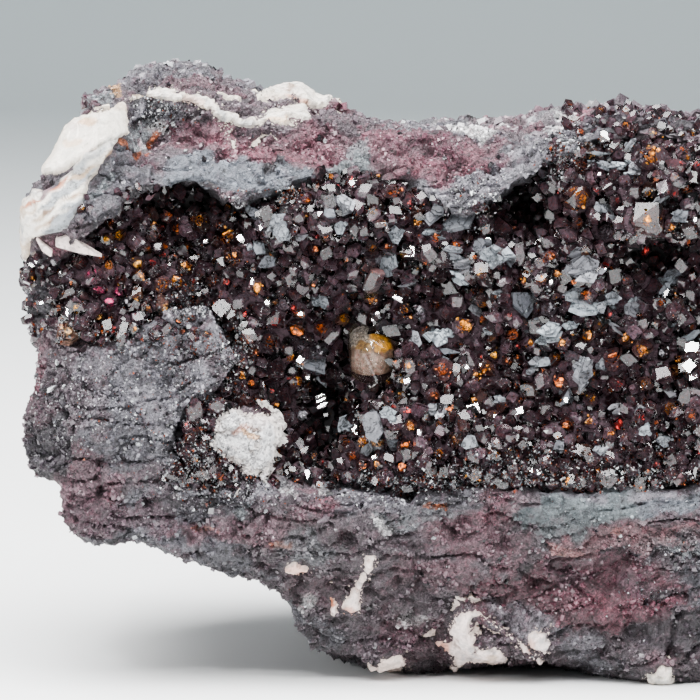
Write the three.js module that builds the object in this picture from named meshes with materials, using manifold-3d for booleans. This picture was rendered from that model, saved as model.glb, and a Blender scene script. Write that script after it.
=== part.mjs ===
// A mineral hand specimen: a block of hematite-rich rock with a long open vug across its front. The vug is lined
// with small dark quartz crystals, one larger amber quartz stands in it, and pale barite fills seams and patches.
// Millimetres. While it is built, x runs from the left end, y from the foremost point back, z up from the floor.
import * as THREE from "three";
import { ImprovedNoise } from "three/addons/math/ImprovedNoise.js";
import { mergeVertices } from "three/addons/utils/BufferGeometryUtils.js";
import Module from "manifold-3d";

const wasm = await Module();
wasm.setup();

// ---- driving dimensions ----
const LENGTH = 66; // left end to right end
const SEAM_GAP = 0.3; // clearance between pieces that are grown together
const CRUST_THICKNESS = 1.3; // quartz crust without its crystals
const CELL = { along: 20, across: 8, up: 17 }; // facets of the block in each direction

// Skyline and lower edge of the block: [distance from the left end, height].
const TOP_LINE = [
  [0, 32.6], [1.8, 35], [3.1, 36.9], [5.3, 39.1], [7.7, 40.8], [10.4, 41.6], [12.8, 41.2], [15, 40.2],
  [18, 39.7], [20, 38.7], [22.1, 38.2], [25.1, 37.2], [29, 37.7], [32.5, 36.9], [36.1, 38], [40, 38.6],
  [43.7, 38.2], [50, 37.4], [55, 35.6], [59, 32.8], [63, 29], [LENGTH, 25],
];
const BOTTOM_LINE = [
  [0, 15.8], [1.5, 14.8], [2.9, 13.9], [4.2, 10.6], [7.7, 9.7], [12.2, 8.8], [14.6, 7.9], [16.7, 6.8],
  [18.3, 5], [19.6, 3.4], [22.1, 2.2], [25.1, 1.2], [30.5, 1.4], [33.5, 2], [37, 1.8], [40, 0.8],
  [45.5, 0.2], [54, 0.3], [59, 2.4], [63, 7], [LENGTH, 12],
];
// Front and back of the block: [height, distance back from the foremost point].
const FRONT_LINE = [
  [0, 8], [2, 6.2], [6, 3.6], [10, 1.5], [13.5, 0.6], [17, 1.3], [22, 2.4], [28, 2.8], [33, 3.2], [35, 5],
  [37, 8.5], [39, 12], [42, 15],
];
const LOBE_LINE = [
  [0, 5], [4, 3], [9, 1.5], [13.5, 0.6], [18, 1.6], [24, 2.4], [29, 1.8], [33, 0.6], [36, 1.4], [38, 3.6],
  [40, 7], [42, 10],
];
const BACK_LINE = [[0, 33], [6, 37], [14, 40.5], [22, 42], [30, 40], [36, 36], [42, 30]];
const LOBE = { from: 32, full: 38, fade: 49, to: 56 }; // stretch along x where the upper front bulges

// Knobs (minus) and pits (plus) of the front: where they lie, how far they reach and how deep they go.
const FRONT_RELIEF = [
  { x: 5.5, z: 18, reachX: 4.5, reachZ: 3.2, depth: -1.3 },
  { x: 12.5, z: 12.6, reachX: 3, reachZ: 1.6, depth: 1.5 },
  { x: 19.5, z: 11.6, reachX: 4.5, reachZ: 1.7, depth: -1.1 },
  { x: 14.5, z: 7.6, reachX: 2.6, reachZ: 1.5, depth: 1.3 },
  { x: 28, z: 6.4, reachX: 3.4, reachZ: 2.4, depth: -0.9 },
  { x: 31, z: 11, reachX: 3.4, reachZ: 1.8, depth: 1 },
  { x: 41, z: 12, reachX: 7, reachZ: 1.6, depth: -1 },
  { x: 42, z: 8.4, reachX: 7, reachZ: 1.7, depth: 1.2 },
  { x: 51, z: 6, reachX: 4, reachZ: 3, depth: -1.4 },
  { x: 57.5, z: 12, reachX: 2.5, reachZ: 5, depth: 1.6 },
];

// Outline of the vug on the front: [distance from the left end, height].
const VUG_OUTLINE = [
  [2, 27.6], [3.3, 29.4], [5.6, 31.6], [8, 33.5], [11.5, 33.9], [14.6, 32.6], [17.5, 33.4], [20.3, 34.7],
  [24, 34.9], [27, 33.2], [30, 31.4], [32.3, 33], [34.6, 34.6], [36.5, 35.8], [38.6, 37], [42, 37.3],
  [45.5, 36.7], [50, 35.2], [54, 32.2], [56.5, 28], [57, 23], [55, 18.8], [51, 15.8], [45.5, 14.1], [38, 13.6],
  [31, 13.9], [26, 13.3], [21, 13.7], [16, 14.2], [12, 14], [10.3, 16.2], [11.4, 19.2], [13.8, 20.8],
  [14.6, 23], [13, 25.6], [9.5, 25.4], [7.5, 23.7], [4.5, 23.3], [2.4, 23.7],
];
// Hollows of the vug's floor, in the same form.
const VUG_RIM_DEPTH = 1.7;
const HOLLOWS = [
  { x: 10, z: 30, reachX: 6.5, reachZ: 3.4, depth: 5.5 },
  { x: 19.8, z: 19.5, reachX: 4.6, reachZ: 5.6, depth: 7.5 },
  { x: 29, z: 26, reachX: 6, reachZ: 4.5, depth: 3.5 },
  { x: 34, z: 32.4, reachX: 2.8, reachZ: 1.9, depth: 7.5 },
  { x: 43, z: 28.8, reachX: 3.6, reachZ: 1.9, depth: 4.5 },
  { x: 38, z: 21, reachX: 9, reachZ: 3.5, depth: 2.2 },
  { x: 52, z: 25, reachX: 5, reachZ: 5, depth: 3.5 },
];

// The vug's crystals: a jittered grid of short six-sided prisms with pyramid tips. The large amber one stands apart.
const CRYSTALS = {
  first: { x: 2.5, z: 14.6 },
  spacing: 4,
  rows: 8,
  columns: 15,
  smallest: 0.9,
  largest: 1.6,
  margin: 1.5,
};
const AMBER = { x: 23.4, z: 23.6, axis: [0.06, -0.8, -0.5], radius: 1.6, length: 2.8, tip: 1.7, spin: 0.4 };
const FLOOR_GRID = { x: 29, z: 25, wide: 62, high: 32, cellsX: 19, cellsZ: 9 }; // middle, size and facets
const AHEAD = -15; // a plane well in front of the block
const LUMP_DETAIL = 1; // how finely the barite lumps are faceted

// Barite: each lump is an irregular rounded mass [x, y, z] with its half sizes and its turn about y, in degrees.
const BARITE = {
  barite_slab: [
    { at: [4.2, 8.6, 36.2], half: [3.3, 4.6, 2.9], turn: -38 },
    { at: [2.4, 6.6, 31.6], half: [1.9, 2.6, 3.2], turn: -25 },
  ],
  barite_seam: [
    { at: [9.6, 11, 38.9], half: [3.2, 2.6, 1.3], turn: -6 },
    { at: [13.4, 11, 38.4], half: [2.6, 2.4, 1.4], turn: 28 },
    { at: [17.4, 11.6, 37.2], half: [3.6, 3, 1.3], turn: -8 },
  ],
  barite_nodule: [
    { at: [15.2, 4.4, 17.1], half: [2.2, 2.6, 2], turn: 12 },
    { at: [13.6, 4.6, 18.2], half: [1.3, 2, 1.2], turn: 0 },
  ],
  barite_foot: [
    { at: [31.4, 5, 3.9], half: [2.6, 1.7, 2], turn: 20 },
    { at: [34.6, 4.8, 3.2], half: [1.7, 1.4, 1.7], turn: 0 },
  ],
  barite_heel: [{ at: [25, 6.2, 2.3], half: [2.6, 1.6, 1.1], turn: -18 }],
  barite_corner: [{ at: [43.2, 4.6, 1.9], half: [2, 1.5, 1.5], turn: 20 }],
  barite_crest: [{ at: [18.6, 19, 39.2], half: [2.8, 3, 1.7], turn: 0 }],
  barite_back: [
    { at: [40, 40.6, 20], half: [6, 2.2, 4.4], turn: 24 },
    { at: [46.5, 40, 17], half: [3.4, 2, 2.6], turn: 0 },
  ],
};

// Flat breaks: a point on each and the way it faces. The first is the face that the specimen stands on.
const BREAKS = [
  { at: [0, 0, 0], facing: [0, 0, -1] },
  { at: [64.6, 20, 20], facing: [1, -0.25, 0.15] },
  { at: [61.5, 14, 7], facing: [0.75, -0.35, -0.55] },
  { at: [62, 24, 30], facing: [0.7, 0.2, 0.7] },
  { at: [38, 36, 34], facing: [0.1, 0.75, 0.7] },
  { at: [4, 31, 28], facing: [-0.75, 0.6, 0.25] },
  { at: [10, 36, 12], facing: [-0.4, 0.75, -0.45] },
  { at: [30, 38, 8], facing: [-0.05, 0.85, -0.5] },
  { at: [46, 41, 18], facing: [0.1, 1, -0.15] },
  { at: [57, 36, 20], facing: [0.6, 0.8, 0.1] },
];

const COLOURS = {
  rock: { color: 0x6f5f69, roughness: 0.8, metalness: 0.1 },
  quartz: { color: 0x35222a, roughness: 0.2, metalness: 0 },
  amber: { color: 0xd9b36a, roughness: 0.1, metalness: 0 },
  barite: { color: 0xe8ddd6, roughness: 0.55, metalness: 0 },
};

// ---- small tools ----
const noise = new ImprovedNoise();
const { clamp, lerp, smoothstep, degToRad } = THREE.MathUtils;

/** A repeatable stream of numbers from 0 to 1. */
function numberStream(seed) {
  let state = seed;
  return () => {
    state = (state * 1664525 + 1013904223) % 4294967296;
    return state / 4294967296;
  };
}

/** Straight-line value at a place on a list of [place, value] pairs. */
function along(line, place) {
  const next = line.findIndex(([at]) => at >= place);
  if (next === 0) return line[0][1];
  if (next < 0) return line.at(-1)[1];
  const [[a, low], [b, high]] = [line[next - 1], line[next]];
  return lerp(low, high, (place - a) / (b - a));
}

/** Noise from -1 to 1 with lumps about `size` mm across. */
function lumps(x, y, z, size, seed) {
  return noise.noise(x / size + seed, y / size - seed, z / size + seed * 0.5);
}

/** A closed three.js geometry as a solid that can be joined and cut. */
function solidOf(geometry) {
  const bare = geometry.clone();
  bare.deleteAttribute("normal");
  bare.deleteAttribute("uv");
  const merged = mergeVertices(bare, 1e-4);
  return new wasm.Manifold(
    new wasm.Mesh({
      numProp: 3,
      vertProperties: merged.attributes.position.array,
      triVerts: new Uint32Array(merged.index.array),
    }),
  );
}

/** A solid as a flat-shaded three.js mesh. */
function meshOf(name, solid, look) {
  const { numProp, numVert, vertProperties, triVerts } = solid.getMesh();
  const positions = new Float32Array(numVert * 3);
  for (let i = 0; i < numVert; i++)
    positions.set(vertProperties.subarray(i * numProp, i * numProp + 3), i * 3);
  const geometry = new THREE.BufferGeometry()
    .setAttribute("position", new THREE.BufferAttribute(positions, 3))
    .setIndex(new THREE.BufferAttribute(triVerts, 1))
    .toNonIndexed();
  geometry.computeVertexNormals();
  const mesh = new THREE.Mesh(geometry, new THREE.MeshStandardMaterial(look));
  mesh.name = name;
  return mesh;
}

/** Moves each vertex of a geometry to where `place` puts it. */
function reshape(geometry, place) {
  const position = geometry.attributes.position;
  const point = new THREE.Vector3();
  for (let i = 0; i < position.count; i++) {
    place(point.fromBufferAttribute(position, i));
    position.setXYZ(i, point.x, point.y, point.z);
  }
  return geometry;
}

/** How deep a list of knobs and pits goes at a place. */
function reliefAt(list, x, z) {
  return list.reduce((sum, one) => {
    const spread = ((x - one.x) / one.reachX) ** 2 + ((z - one.z) / one.reachZ) ** 2;
    return sum + one.depth * Math.exp(-spread);
  }, 0);
}

/** The solids joined into one. */
function joined(solids) {
  return solids.reduce((sum, solid) => sum.add(solid));
}

// ---- the block ----
/** How far back the front of the block lies at a place, before the vug is cut. */
function frontAt(x, z) {
  const lobe = smoothstep(x, LOBE.from, LOBE.full) - smoothstep(x, LOBE.fade, LOBE.to);
  const leftRound = 5 * clamp(1 - x / 3.5, 0, 1) ** 2;
  const rightRound = 12 * clamp(1 - (LENGTH - x) / 12, 0, 1) ** 2;
  const plain = lerp(along(FRONT_LINE, z), along(LOBE_LINE, z), lobe);
  return plain + leftRound + rightRound + reliefAt(FRONT_RELIEF, x, z);
}

/** How far back the back of the block lies. */
function backAt(x, z) {
  const leftRound = 14 * clamp(1 - x / 14, 0, 1) ** 2;
  const rightRound = 12 * clamp(1 - (LENGTH - x) / 14, 0, 1) ** 2;
  return along(BACK_LINE, z) - leftRound - rightRound;
}

/** Height of the block's top: the skyline, falling away towards the back. */
function topAt(x, y) {
  return along(TOP_LINE, x) - 5.5 * clamp((y - 20) / 20, 0, 1) ** 1.5;
}

/** Height of the block's underside: its front edge, with a belly that comes down behind it. */
function undersideAt(x, y) {
  const belly = Math.sin(Math.PI * clamp((y - 4) / 34, 0, 1));
  const heel = smoothstep(x, 17, 24) * 2.6 + smoothstep(x, 58, 70) * -2;
  return along(BOTTOM_LINE, x) - belly * heel;
}

/** The rough block: a gridded box laid between the lines above and made lumpy. */
function roughBlock() {
  const box = new THREE.BoxGeometry(2, 2, 2, CELL.along, CELL.across, CELL.up);
  return reshape(box, (p) => {
    const x = ((p.x + 1) / 2) * LENGTH;
    const [across, up] = [(p.y + 1) / 2, (p.z + 1) / 2];
    const level = lerp(along(BOTTOM_LINE, x), along(TOP_LINE, x), up);
    const y = lerp(frontAt(x, level), backAt(x, level), across);
    const z = lerp(undersideAt(x, y), topAt(x, y), up);
    const below = smoothstep(y, 9, 16) * (1 - smoothstep(z, 8, 16));
    const hidden = Math.max(smoothstep(x, 50, 58), smoothstep(y, 19, 28), below);
    const rough = lerp(0.45, 1.5, hidden);
    const step = (seed) => rough * (lumps(x, y, z, 9, seed) + 0.9 * lumps(x, y, z, 4.6, seed + 3));
    p.set(x + step(1.7) * 0.8, y + step(5.3) * 1.6, z + step(9.1) * 0.8);
  });
}

/** A flat break: everything beyond a plane through `at`, facing `facing`, comes off. */
function breakOff(solid, at, facing) {
  const size = 120;
  const box = new THREE.BoxGeometry(size, size, size).translate(0, 0, size / 2);
  const turn = new THREE.Quaternion().setFromUnitVectors(
    new THREE.Vector3(0, 0, 1),
    new THREE.Vector3(...facing).normalize(),
  );
  box.applyQuaternion(turn).translate(...at);
  return solid.subtract(solidOf(box));
}

// ---- the vug ----
/** How far back the vug's rock floor lies. */
function vugFloorAt(x, z) {
  return frontAt(x, z) + VUG_RIM_DEPTH + reliefAt(HOLLOWS, x, z) + 0.5 * lumps(x, 0, z, 5, 2.2);
}

/** All space in front of the vug's floor, with the floor moved forward by `lift`. */
function inFrontOfFloor(lift) {
  const { wide, high, cellsX, cellsZ } = FLOOR_GRID;
  const slab = new THREE.BoxGeometry(wide, 2, high, cellsX, 1, cellsZ);
  return solidOf(
    reshape(slab, (p) => {
      const [x, z] = [p.x + FLOOR_GRID.x, p.z + FLOOR_GRID.z];
      p.set(x, p.y > 0 ? vugFloorAt(x, z) - lift : AHEAD, z);
    }),
  );
}

/** The vug's outline as a shape, drawn in by `inset` on every side. */
function vugOutline(inset) {
  const points = VUG_OUTLINE.map(([x, z]) => new THREE.Vector2(x, z));
  const drawnIn = points.map((p, i) => {
    const before = points.at(i - 1);
    const after = points[(i + 1) % points.length];
    const edge = after.clone().sub(before).normalize();
    return new THREE.Vector2(p.x + edge.y * inset, p.y - edge.x * inset);
  });
  return new THREE.Shape(drawnIn);
}

/** The open space of the vug, `inset` smaller on every side that meets rock. */
function vugSpace(inset) {
  const [nearest, farthest] = [AHEAD + 1, 30];
  const column = new THREE.ExtrudeGeometry(vugOutline(inset), {
    depth: farthest - nearest,
    bevelEnabled: false,
  });
  column.rotateX(Math.PI / 2).translate(0, farthest, 0);
  return solidOf(column).intersect(inFrontOfFloor(inset));
}

// ---- crystals ----
/** A six-sided prism with a pyramid tip, pointing along `axis`, its foot `rooted` mm below `at`. */
function quartz(at, axis, { radius, length, tip, rooted, spin }) {
  const profile = [
    new THREE.Vector2(0, -rooted),
    new THREE.Vector2(radius, -rooted),
    new THREE.Vector2(radius, length),
    new THREE.Vector2(0, length + tip),
  ];
  const turn = new THREE.Quaternion().setFromUnitVectors(new THREE.Vector3(0, 1, 0), axis);
  const prism = new THREE.LatheGeometry(profile, 6).rotateY(spin);
  return solidOf(prism.applyQuaternion(turn).translate(at.x, at.y, at.z));
}

/** The direction that the vug's floor faces, from its slope over a short stretch. */
function floorFacing(x, z) {
  const reach = 0.8;
  const slopeX = (vugFloorAt(x + reach, z) - vugFloorAt(x - reach, z)) / (2 * reach);
  const slopeZ = (vugFloorAt(x, z + reach) - vugFloorAt(x, z - reach)) / (2 * reach);
  return new THREE.Vector3(slopeX, -1, slopeZ).normalize();
}

/** Whether a place lies inside an outline, at least `margin` from its edge. */
function isWithin(outline, x, z, margin) {
  const around = [[0, 0], [margin, 0], [-margin, 0], [0, margin], [0, -margin]];
  const crosses = (px, pz) =>
    outline.reduce((inside, [x1, z1], i) => {
      const [x2, z2] = outline.at(i - 1);
      const spans = z1 > pz !== z2 > pz;
      return spans && px < ((x2 - x1) * (pz - z1)) / (z2 - z1) + x1 ? !inside : inside;
    }, false);
  return around.every(([dx, dz]) => crosses(x + dx, z + dz));
}

/** The crystals that stand on the vug's floor, as a list of solids. */
function druse() {
  const next = numberStream(20);
  const { first, spacing, rows, columns, smallest, largest, margin } = CRYSTALS;
  const found = [];
  for (let row = 0; row < rows; row++)
    for (let column = 0; column < columns; column++) {
      const jitter = () => (next() - 0.5) * spacing * 0.6;
      const x = first.x + (column + (row % 2) / 2) * spacing + jitter();
      const z = first.z + row * spacing * Math.sin(Math.PI / 3) + jitter();
      const radius = lerp(smallest, largest, next() ** 2);
      const tilt = () => next() - 0.5;
      const axis = floorFacing(x, z).add(new THREE.Vector3(tilt(), tilt() / 2, tilt()));
      const spin = next() * Math.PI;
      const nearAmber = Math.hypot(x - AMBER.x, z - AMBER.z) < AMBER.radius + radius;
      if (nearAmber || !isWithin(VUG_OUTLINE, x, z, margin)) continue;
      const foot = new THREE.Vector3(x, vugFloorAt(x, z) - SEAM_GAP - CRUST_THICKNESS, z);
      const sizes = { radius, length: radius * 0.5, tip: radius * 1.1, rooted: 0.8, spin };
      found.push(quartz(foot, axis.normalize(), sizes));
    }
  return found;
}

/** The vug's lining: a skin of quartz with its crystals, grown together in one piece. */
function quartzCrust(block) {
  const behind = inFrontOfFloor(SEAM_GAP + CRUST_THICKNESS);
  const skin = vugSpace(SEAM_GAP).subtract(behind).intersect(block);
  const lining = joined([skin, ...druse()]).intersect(vugSpace(SEAM_GAP));
  return largestOf(lining);
}

/** The largest separate body of a solid. */
function largestOf(solid) {
  return solid.decompose().reduce((best, body) => (body.volume() > best.volume() ? body : best));
}

/** The single large crystal that stands in the deep part of the vug, `grow` mm larger all round. */
function amberQuartz(grow) {
  const { x, z, radius, length, tip } = AMBER;
  const foot = new THREE.Vector3(x, vugFloorAt(x, z) - SEAM_GAP, z);
  const axis = new THREE.Vector3(...AMBER.axis).normalize();
  const sizes = { radius: radius + grow, length, tip: tip + grow, rooted: grow, spin: AMBER.spin };
  return quartz(foot, axis, sizes);
}

// ---- barite ----
/** An irregular rounded lump, `grow` mm larger all round than its half sizes. */
function lump({ at, half, turn }, grow) {
  const spin = new THREE.Quaternion().setFromAxisAngle(new THREE.Vector3(0, 1, 0), degToRad(turn));
  const centre = new THREE.Vector3(...at);
  const ball = new THREE.IcosahedronGeometry(1, LUMP_DETAIL);
  return solidOf(
    reshape(ball, (p) => {
      const swell = 1 + 0.25 * lumps(p.x + at[0], p.y + at[1], p.z + at[2], 0.9, 4.4);
      p.set(p.x * (half[0] * swell + grow), p.y * (half[1] * swell + grow), p.z * (half[2] * swell + grow));
      p.applyQuaternion(spin).add(centre);
    }),
  );
}

/** One mass of barite, `grow` mm larger all round. */
function baritePiece(name, grow) {
  return joined(BARITE[name].map((one) => lump(one, grow)));
}

// ---- the specimen ----
/** The block with its flat breaks and its flat underside. */
function brokenBlock() {
  return BREAKS.reduce((solid, { at, facing }) => breakOff(solid, at, facing), solidOf(roughBlock()));
}

/** Every piece of the specimen, as a list of named meshes. */
function pieces() {
  const block = brokenBlock();
  const sockets = joined(Object.keys(BARITE).map((name) => baritePiece(name, SEAM_GAP)));
  const rock = block.subtract(vugSpace(0)).subtract(sockets).subtract(amberQuartz(SEAM_GAP));
  const crust = quartzCrust(block).subtract(sockets).subtract(amberQuartz(SEAM_GAP));
  const made = [
    meshOf("host_rock", largestOf(rock), COLOURS.rock),
    meshOf("quartz_crust", largestOf(crust), COLOURS.quartz),
    meshOf("amber_quartz", amberQuartz(0), COLOURS.amber),
  ];
  for (const name of Object.keys(BARITE)) {
    const standing = breakOff(baritePiece(name, 0), [0, 0, 0], [0, 0, -1]);
    made.push(meshOf(name, largestOf(standing), COLOURS.barite));
  }
  return made;
}

const specimen = new THREE.Group();
specimen.add(...pieces());
const bounds = new THREE.Box3().setFromObject(specimen);
const middle = bounds.getCenter(new THREE.Vector3());
specimen.position.set(-middle.x, -middle.y, -bounds.min.z);
export default specimen;
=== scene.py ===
"""The looks of a mineral hand specimen.

A block of hematite-rich rock carries a long open vug. The vug is lined with small dark quartz crystals that
glow orange from within, with pale hematite plates between them, and creamy barite fills seams and patches.

Places on the front are given as the maker sees them from the front: mm from the block's left end, and mm
above the floor. Depth is found by looking at the block along that line.
"""

import logging
import math
import random
from dataclasses import dataclass, field
from enum import Enum
from typing import Callable, Iterable, Iterator, Sequence

import bmesh
import bpy
import numpy as np
from bmesh.types import BMEdge, BMesh, BMVert
from bpy.types import ID, Material, Mesh, Node, NodeSocket as Socket, Object
from mathutils import Matrix, Quaternion, Vector, noise
from mathutils.bvhtree import BVHTree


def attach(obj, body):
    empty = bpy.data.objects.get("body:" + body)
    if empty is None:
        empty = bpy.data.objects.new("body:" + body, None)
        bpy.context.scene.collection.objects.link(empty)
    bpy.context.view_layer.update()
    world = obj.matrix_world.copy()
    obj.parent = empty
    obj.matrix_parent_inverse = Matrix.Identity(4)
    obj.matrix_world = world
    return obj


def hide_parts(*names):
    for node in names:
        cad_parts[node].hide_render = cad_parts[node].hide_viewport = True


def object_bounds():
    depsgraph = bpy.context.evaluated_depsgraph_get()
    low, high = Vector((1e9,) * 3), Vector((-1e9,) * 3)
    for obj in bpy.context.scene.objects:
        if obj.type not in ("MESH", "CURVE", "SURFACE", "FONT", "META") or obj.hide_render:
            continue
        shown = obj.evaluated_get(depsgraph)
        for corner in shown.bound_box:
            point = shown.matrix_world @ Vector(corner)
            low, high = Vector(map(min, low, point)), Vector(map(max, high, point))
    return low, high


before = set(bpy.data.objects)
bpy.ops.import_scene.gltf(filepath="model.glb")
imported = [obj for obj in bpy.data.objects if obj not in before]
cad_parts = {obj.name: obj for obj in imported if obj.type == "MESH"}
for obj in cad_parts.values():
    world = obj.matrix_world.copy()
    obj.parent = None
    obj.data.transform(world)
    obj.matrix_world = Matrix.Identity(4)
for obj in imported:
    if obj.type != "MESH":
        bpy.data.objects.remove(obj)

CAD_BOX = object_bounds()
noise.seed_set(4)  # without a seed of its own, noise_vector would follow the clock
LOG = logging.getLogger("specimen")
MM = 0.001
BODY = "root"
BLOCK_LEFT = -32.93 * MM  # where the block's left end lies in the frame
BLOCK_FRONT = -20.96 * MM  # where its foremost point lies in the frame
FACE_WIDE = 49  # how far to the right the block's front is made fine, in mm
FACE_DEEP = 19  # how far back the block's front is made fine, in mm
PICTURE_WIDE = 700 / 15 * MM  # what the camera sees of the front plane: 700 dots, 15 to a mm
FILM_WIDE = 36.0  # the width of the camera's film, in mm

Rows = np.ndarray  # one number or one row of numbers for each of many points
Triple = tuple[float, float, float]
Colour = Triple
Outline = tuple[tuple[float, float], ...]


def colour(code: str) -> Colour:
    """The scene-linear colour of a code of six hex digits."""
    parts = [int(code[i : i + 2], 16) / 255 for i in (0, 2, 4)]
    return tuple(p / 12.92 if p <= 0.04045 else ((p + 0.055) / 1.055) ** 2.4 for p in parts)


def smooth(value: float, low: float, high: float) -> float:
    """Smooth ramp from 0 at low to 1 at high."""
    t = min(1.0, max(0.0, (value - low) / (high - low)))
    return t * t * (3 - 2 * t)


def ramped(values: Rows, low: float, high: float) -> Rows:
    """Smooth ramp from 0 at low to 1 at high, for an array."""
    t = np.clip((values - low) / (high - low), 0, 1)
    return t * t * (3 - 2 * t)


def mixed(a: Sequence[float], b: Sequence[float], share: float) -> tuple[float, ...]:
    """Two colours mixed, with that share of the second."""
    return tuple(x + (y - x) * share for x, y in zip(a, b))


def dimmed(tint: Sequence[float], share: float) -> Colour:
    """A tint at a share of its light, never past white."""
    return tuple(min(1.0, c * share) for c in tint[:3])


def rough(place: Vector, size: float, octaves: int, seed: float) -> float:
    """Fractal noise at a place, from about -1 to 1, with lumps of that size and that many layers in all."""
    point = place / size + Vector((seed, seed * 1.7, -seed))
    return noise.fractal(point, 0.9, 2.1, octaves)


def chipped(place: Vector, size: float, seed: float) -> float:
    """How far a surface of flat broken facets stands out at a place, from about -1 to 1.

    Args:
        place: a point in metres.
        size: the facets' size in metres.
        seed: moves the pattern.

    Returns:
        The height, in shares of a facet's half width.
    """
    point = place / size + Vector((seed, -seed, seed * 0.6))
    core = noise.voronoi(point)[1][0]
    return noise.noise_vector(core * 7.3).normalized().dot(point - core) * 1.5 + noise.noise(core * 5.1) * 0.5


def within(outline: Outline, across: Rows, up: Rows) -> Rows:
    """How far inside a closed outline places lie.

    Args:
        outline: its corners, in mm.
        across: the places' mm from the left end.
        up: the places' mm above the floor.

    Returns:
        Distances to the outline in mm, negative outside it.
    """
    inside = np.zeros(len(across), bool)
    nearest = np.full(len(across), 1e9)
    for (ax, az), (bx, bz) in zip(outline, outline[1:] + outline[:1]):
        dx, dz = bx - ax, bz - az
        share = np.clip(((across - ax) * dx + (up - az) * dz) / (dx * dx + dz * dz + 1e-12), 0, 1)
        nearest = np.minimum(nearest, np.hypot(across - ax - share * dx, up - az - share * dz))
        if az != bz:
            crosses = (az > up) != (bz > up)
            inside ^= crosses & (across < ax + (up - az) * dx / dz)
    return np.where(inside, nearest, -nearest)


# ---- shared tools ----


class Desk:
    """A material's node tree, with short ways to add and join nodes."""

    def __init__(self, name: str) -> None:
        """Starts an empty material of that name with a Principled shader."""
        self.material = bpy.data.materials.new(name)
        self.material.use_nodes = True
        self.nodes = self.material.node_tree.nodes
        self.links = self.material.node_tree.links
        self.shader = self.nodes["Principled BSDF"]
        self.place = self.nodes.new("ShaderNodeTexCoord").outputs["Object"]

    def add(self, kind: str, inputs: dict | None = None, **settings: object) -> Node:
        """Adds a node.

        Args:
            kind: the node's type without its ShaderNode prefix.
            inputs: values, or sockets to join, by input name or number.
            settings: the node's own properties.

        Returns:
            The node.
        """
        node = self.nodes.new("ShaderNode" + kind)
        for name, value in settings.items():
            setattr(node, name, value)
        for key, value in (inputs or {}).items():
            self.put(node.inputs[key], value)
        return node

    def put(self, socket: Socket, value: object) -> None:
        """Sets a socket to a value, or joins it to another socket."""
        if isinstance(value, Socket):
            self.links.new(value, socket)
        elif isinstance(value, tuple) and socket.type == "RGBA" and len(value) == 3:
            socket.default_value = (*value, 1.0)
        else:
            socket.default_value = value

    def set(self, **values: object) -> None:
        """Sets the shader's sockets, with underscores for the spaces in their names."""
        for name, value in values.items():
            self.put(self.shader.inputs[name.replace("_", " ")], value)

    def attribute(self, name: str) -> Node:
        """The node that reads a mesh attribute."""
        return self.add("Attribute", attribute_name=name)

    def noise(self, size: float, detail: float = 4.0, roughness: float = 0.6) -> Socket:
        """Noise with lumps of about that size in metres."""
        inputs = {"Vector": self.place, "Scale": 1 / size, "Detail": detail, "Roughness": roughness}
        return self.add("TexNoise", inputs).outputs["Fac"]

    def cells(self, size: float) -> Node:
        """Voronoi cells of about that size in metres."""
        return self.add("TexVoronoi", {"Vector": self.place, "Scale": 1 / size})

    def crumbs(self, size: float) -> Socket:
        """A number for each Voronoi cell."""
        return self.add("SeparateColor", {"Color": self.cells(size).outputs["Color"]}).outputs["Red"]

    def ramp(
        self, value: Socket, low: float, high: float, start: float = 0.0, end: float = 1.0
    ) -> Socket:
        """The value's stretch from low to high, spread from start to end."""
        inputs = {"Value": value, 1: low, 2: high, 3: start, 4: end}
        return self.add("MapRange", inputs).outputs[0]

    def mix(self, share: object, a: object, b: object, blend: str = "MIX") -> Socket:
        """Two colours mixed."""
        node = self.add("Mix", data_type="RGBA", blend_type=blend)
        for key, value in ((0, share), (6, a), (7, b)):
            self.put(node.inputs[key], value)
        return node.outputs[2]

    def maths(self, operation: str, a: object, b: object = 0.0) -> Socket:
        """One step of arithmetic."""
        return self.add("Math", {0: a, 1: b}, operation=operation).outputs[0]

    def times(self, a: object, b: object) -> Socket:
        """One number times another."""
        return self.maths("MULTIPLY", a, b)

    def shaded(self, tint: object, light: object) -> Socket:
        """A colour times another."""
        return self.mix(1.0, tint, light, "MULTIPLY")

    def ridges(self, size: float, detail: float, roughness: float) -> Socket:
        """How far noise is from its middle, which is 0 along thin winding lines."""
        away = self.maths("SUBTRACT", self.noise(size, detail, roughness), 0.5)
        return self.maths("ABSOLUTE", away)

    def grey(self, value: Socket) -> Socket:
        """A number as a grey colour."""
        return self.add("CombineColor", {0: value, 1: value, 2: value}).outputs[0]

    def bump(
        self, height: Socket, depth: float, under: Socket | None = None
    ) -> Socket:
        """A bump of that depth in metres, laid over another if given."""
        node = self.add("Bump", {"Height": height, "Distance": depth})
        if under:
            self.links.new(under, node.inputs["Normal"])
        return node.outputs["Normal"]


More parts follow.
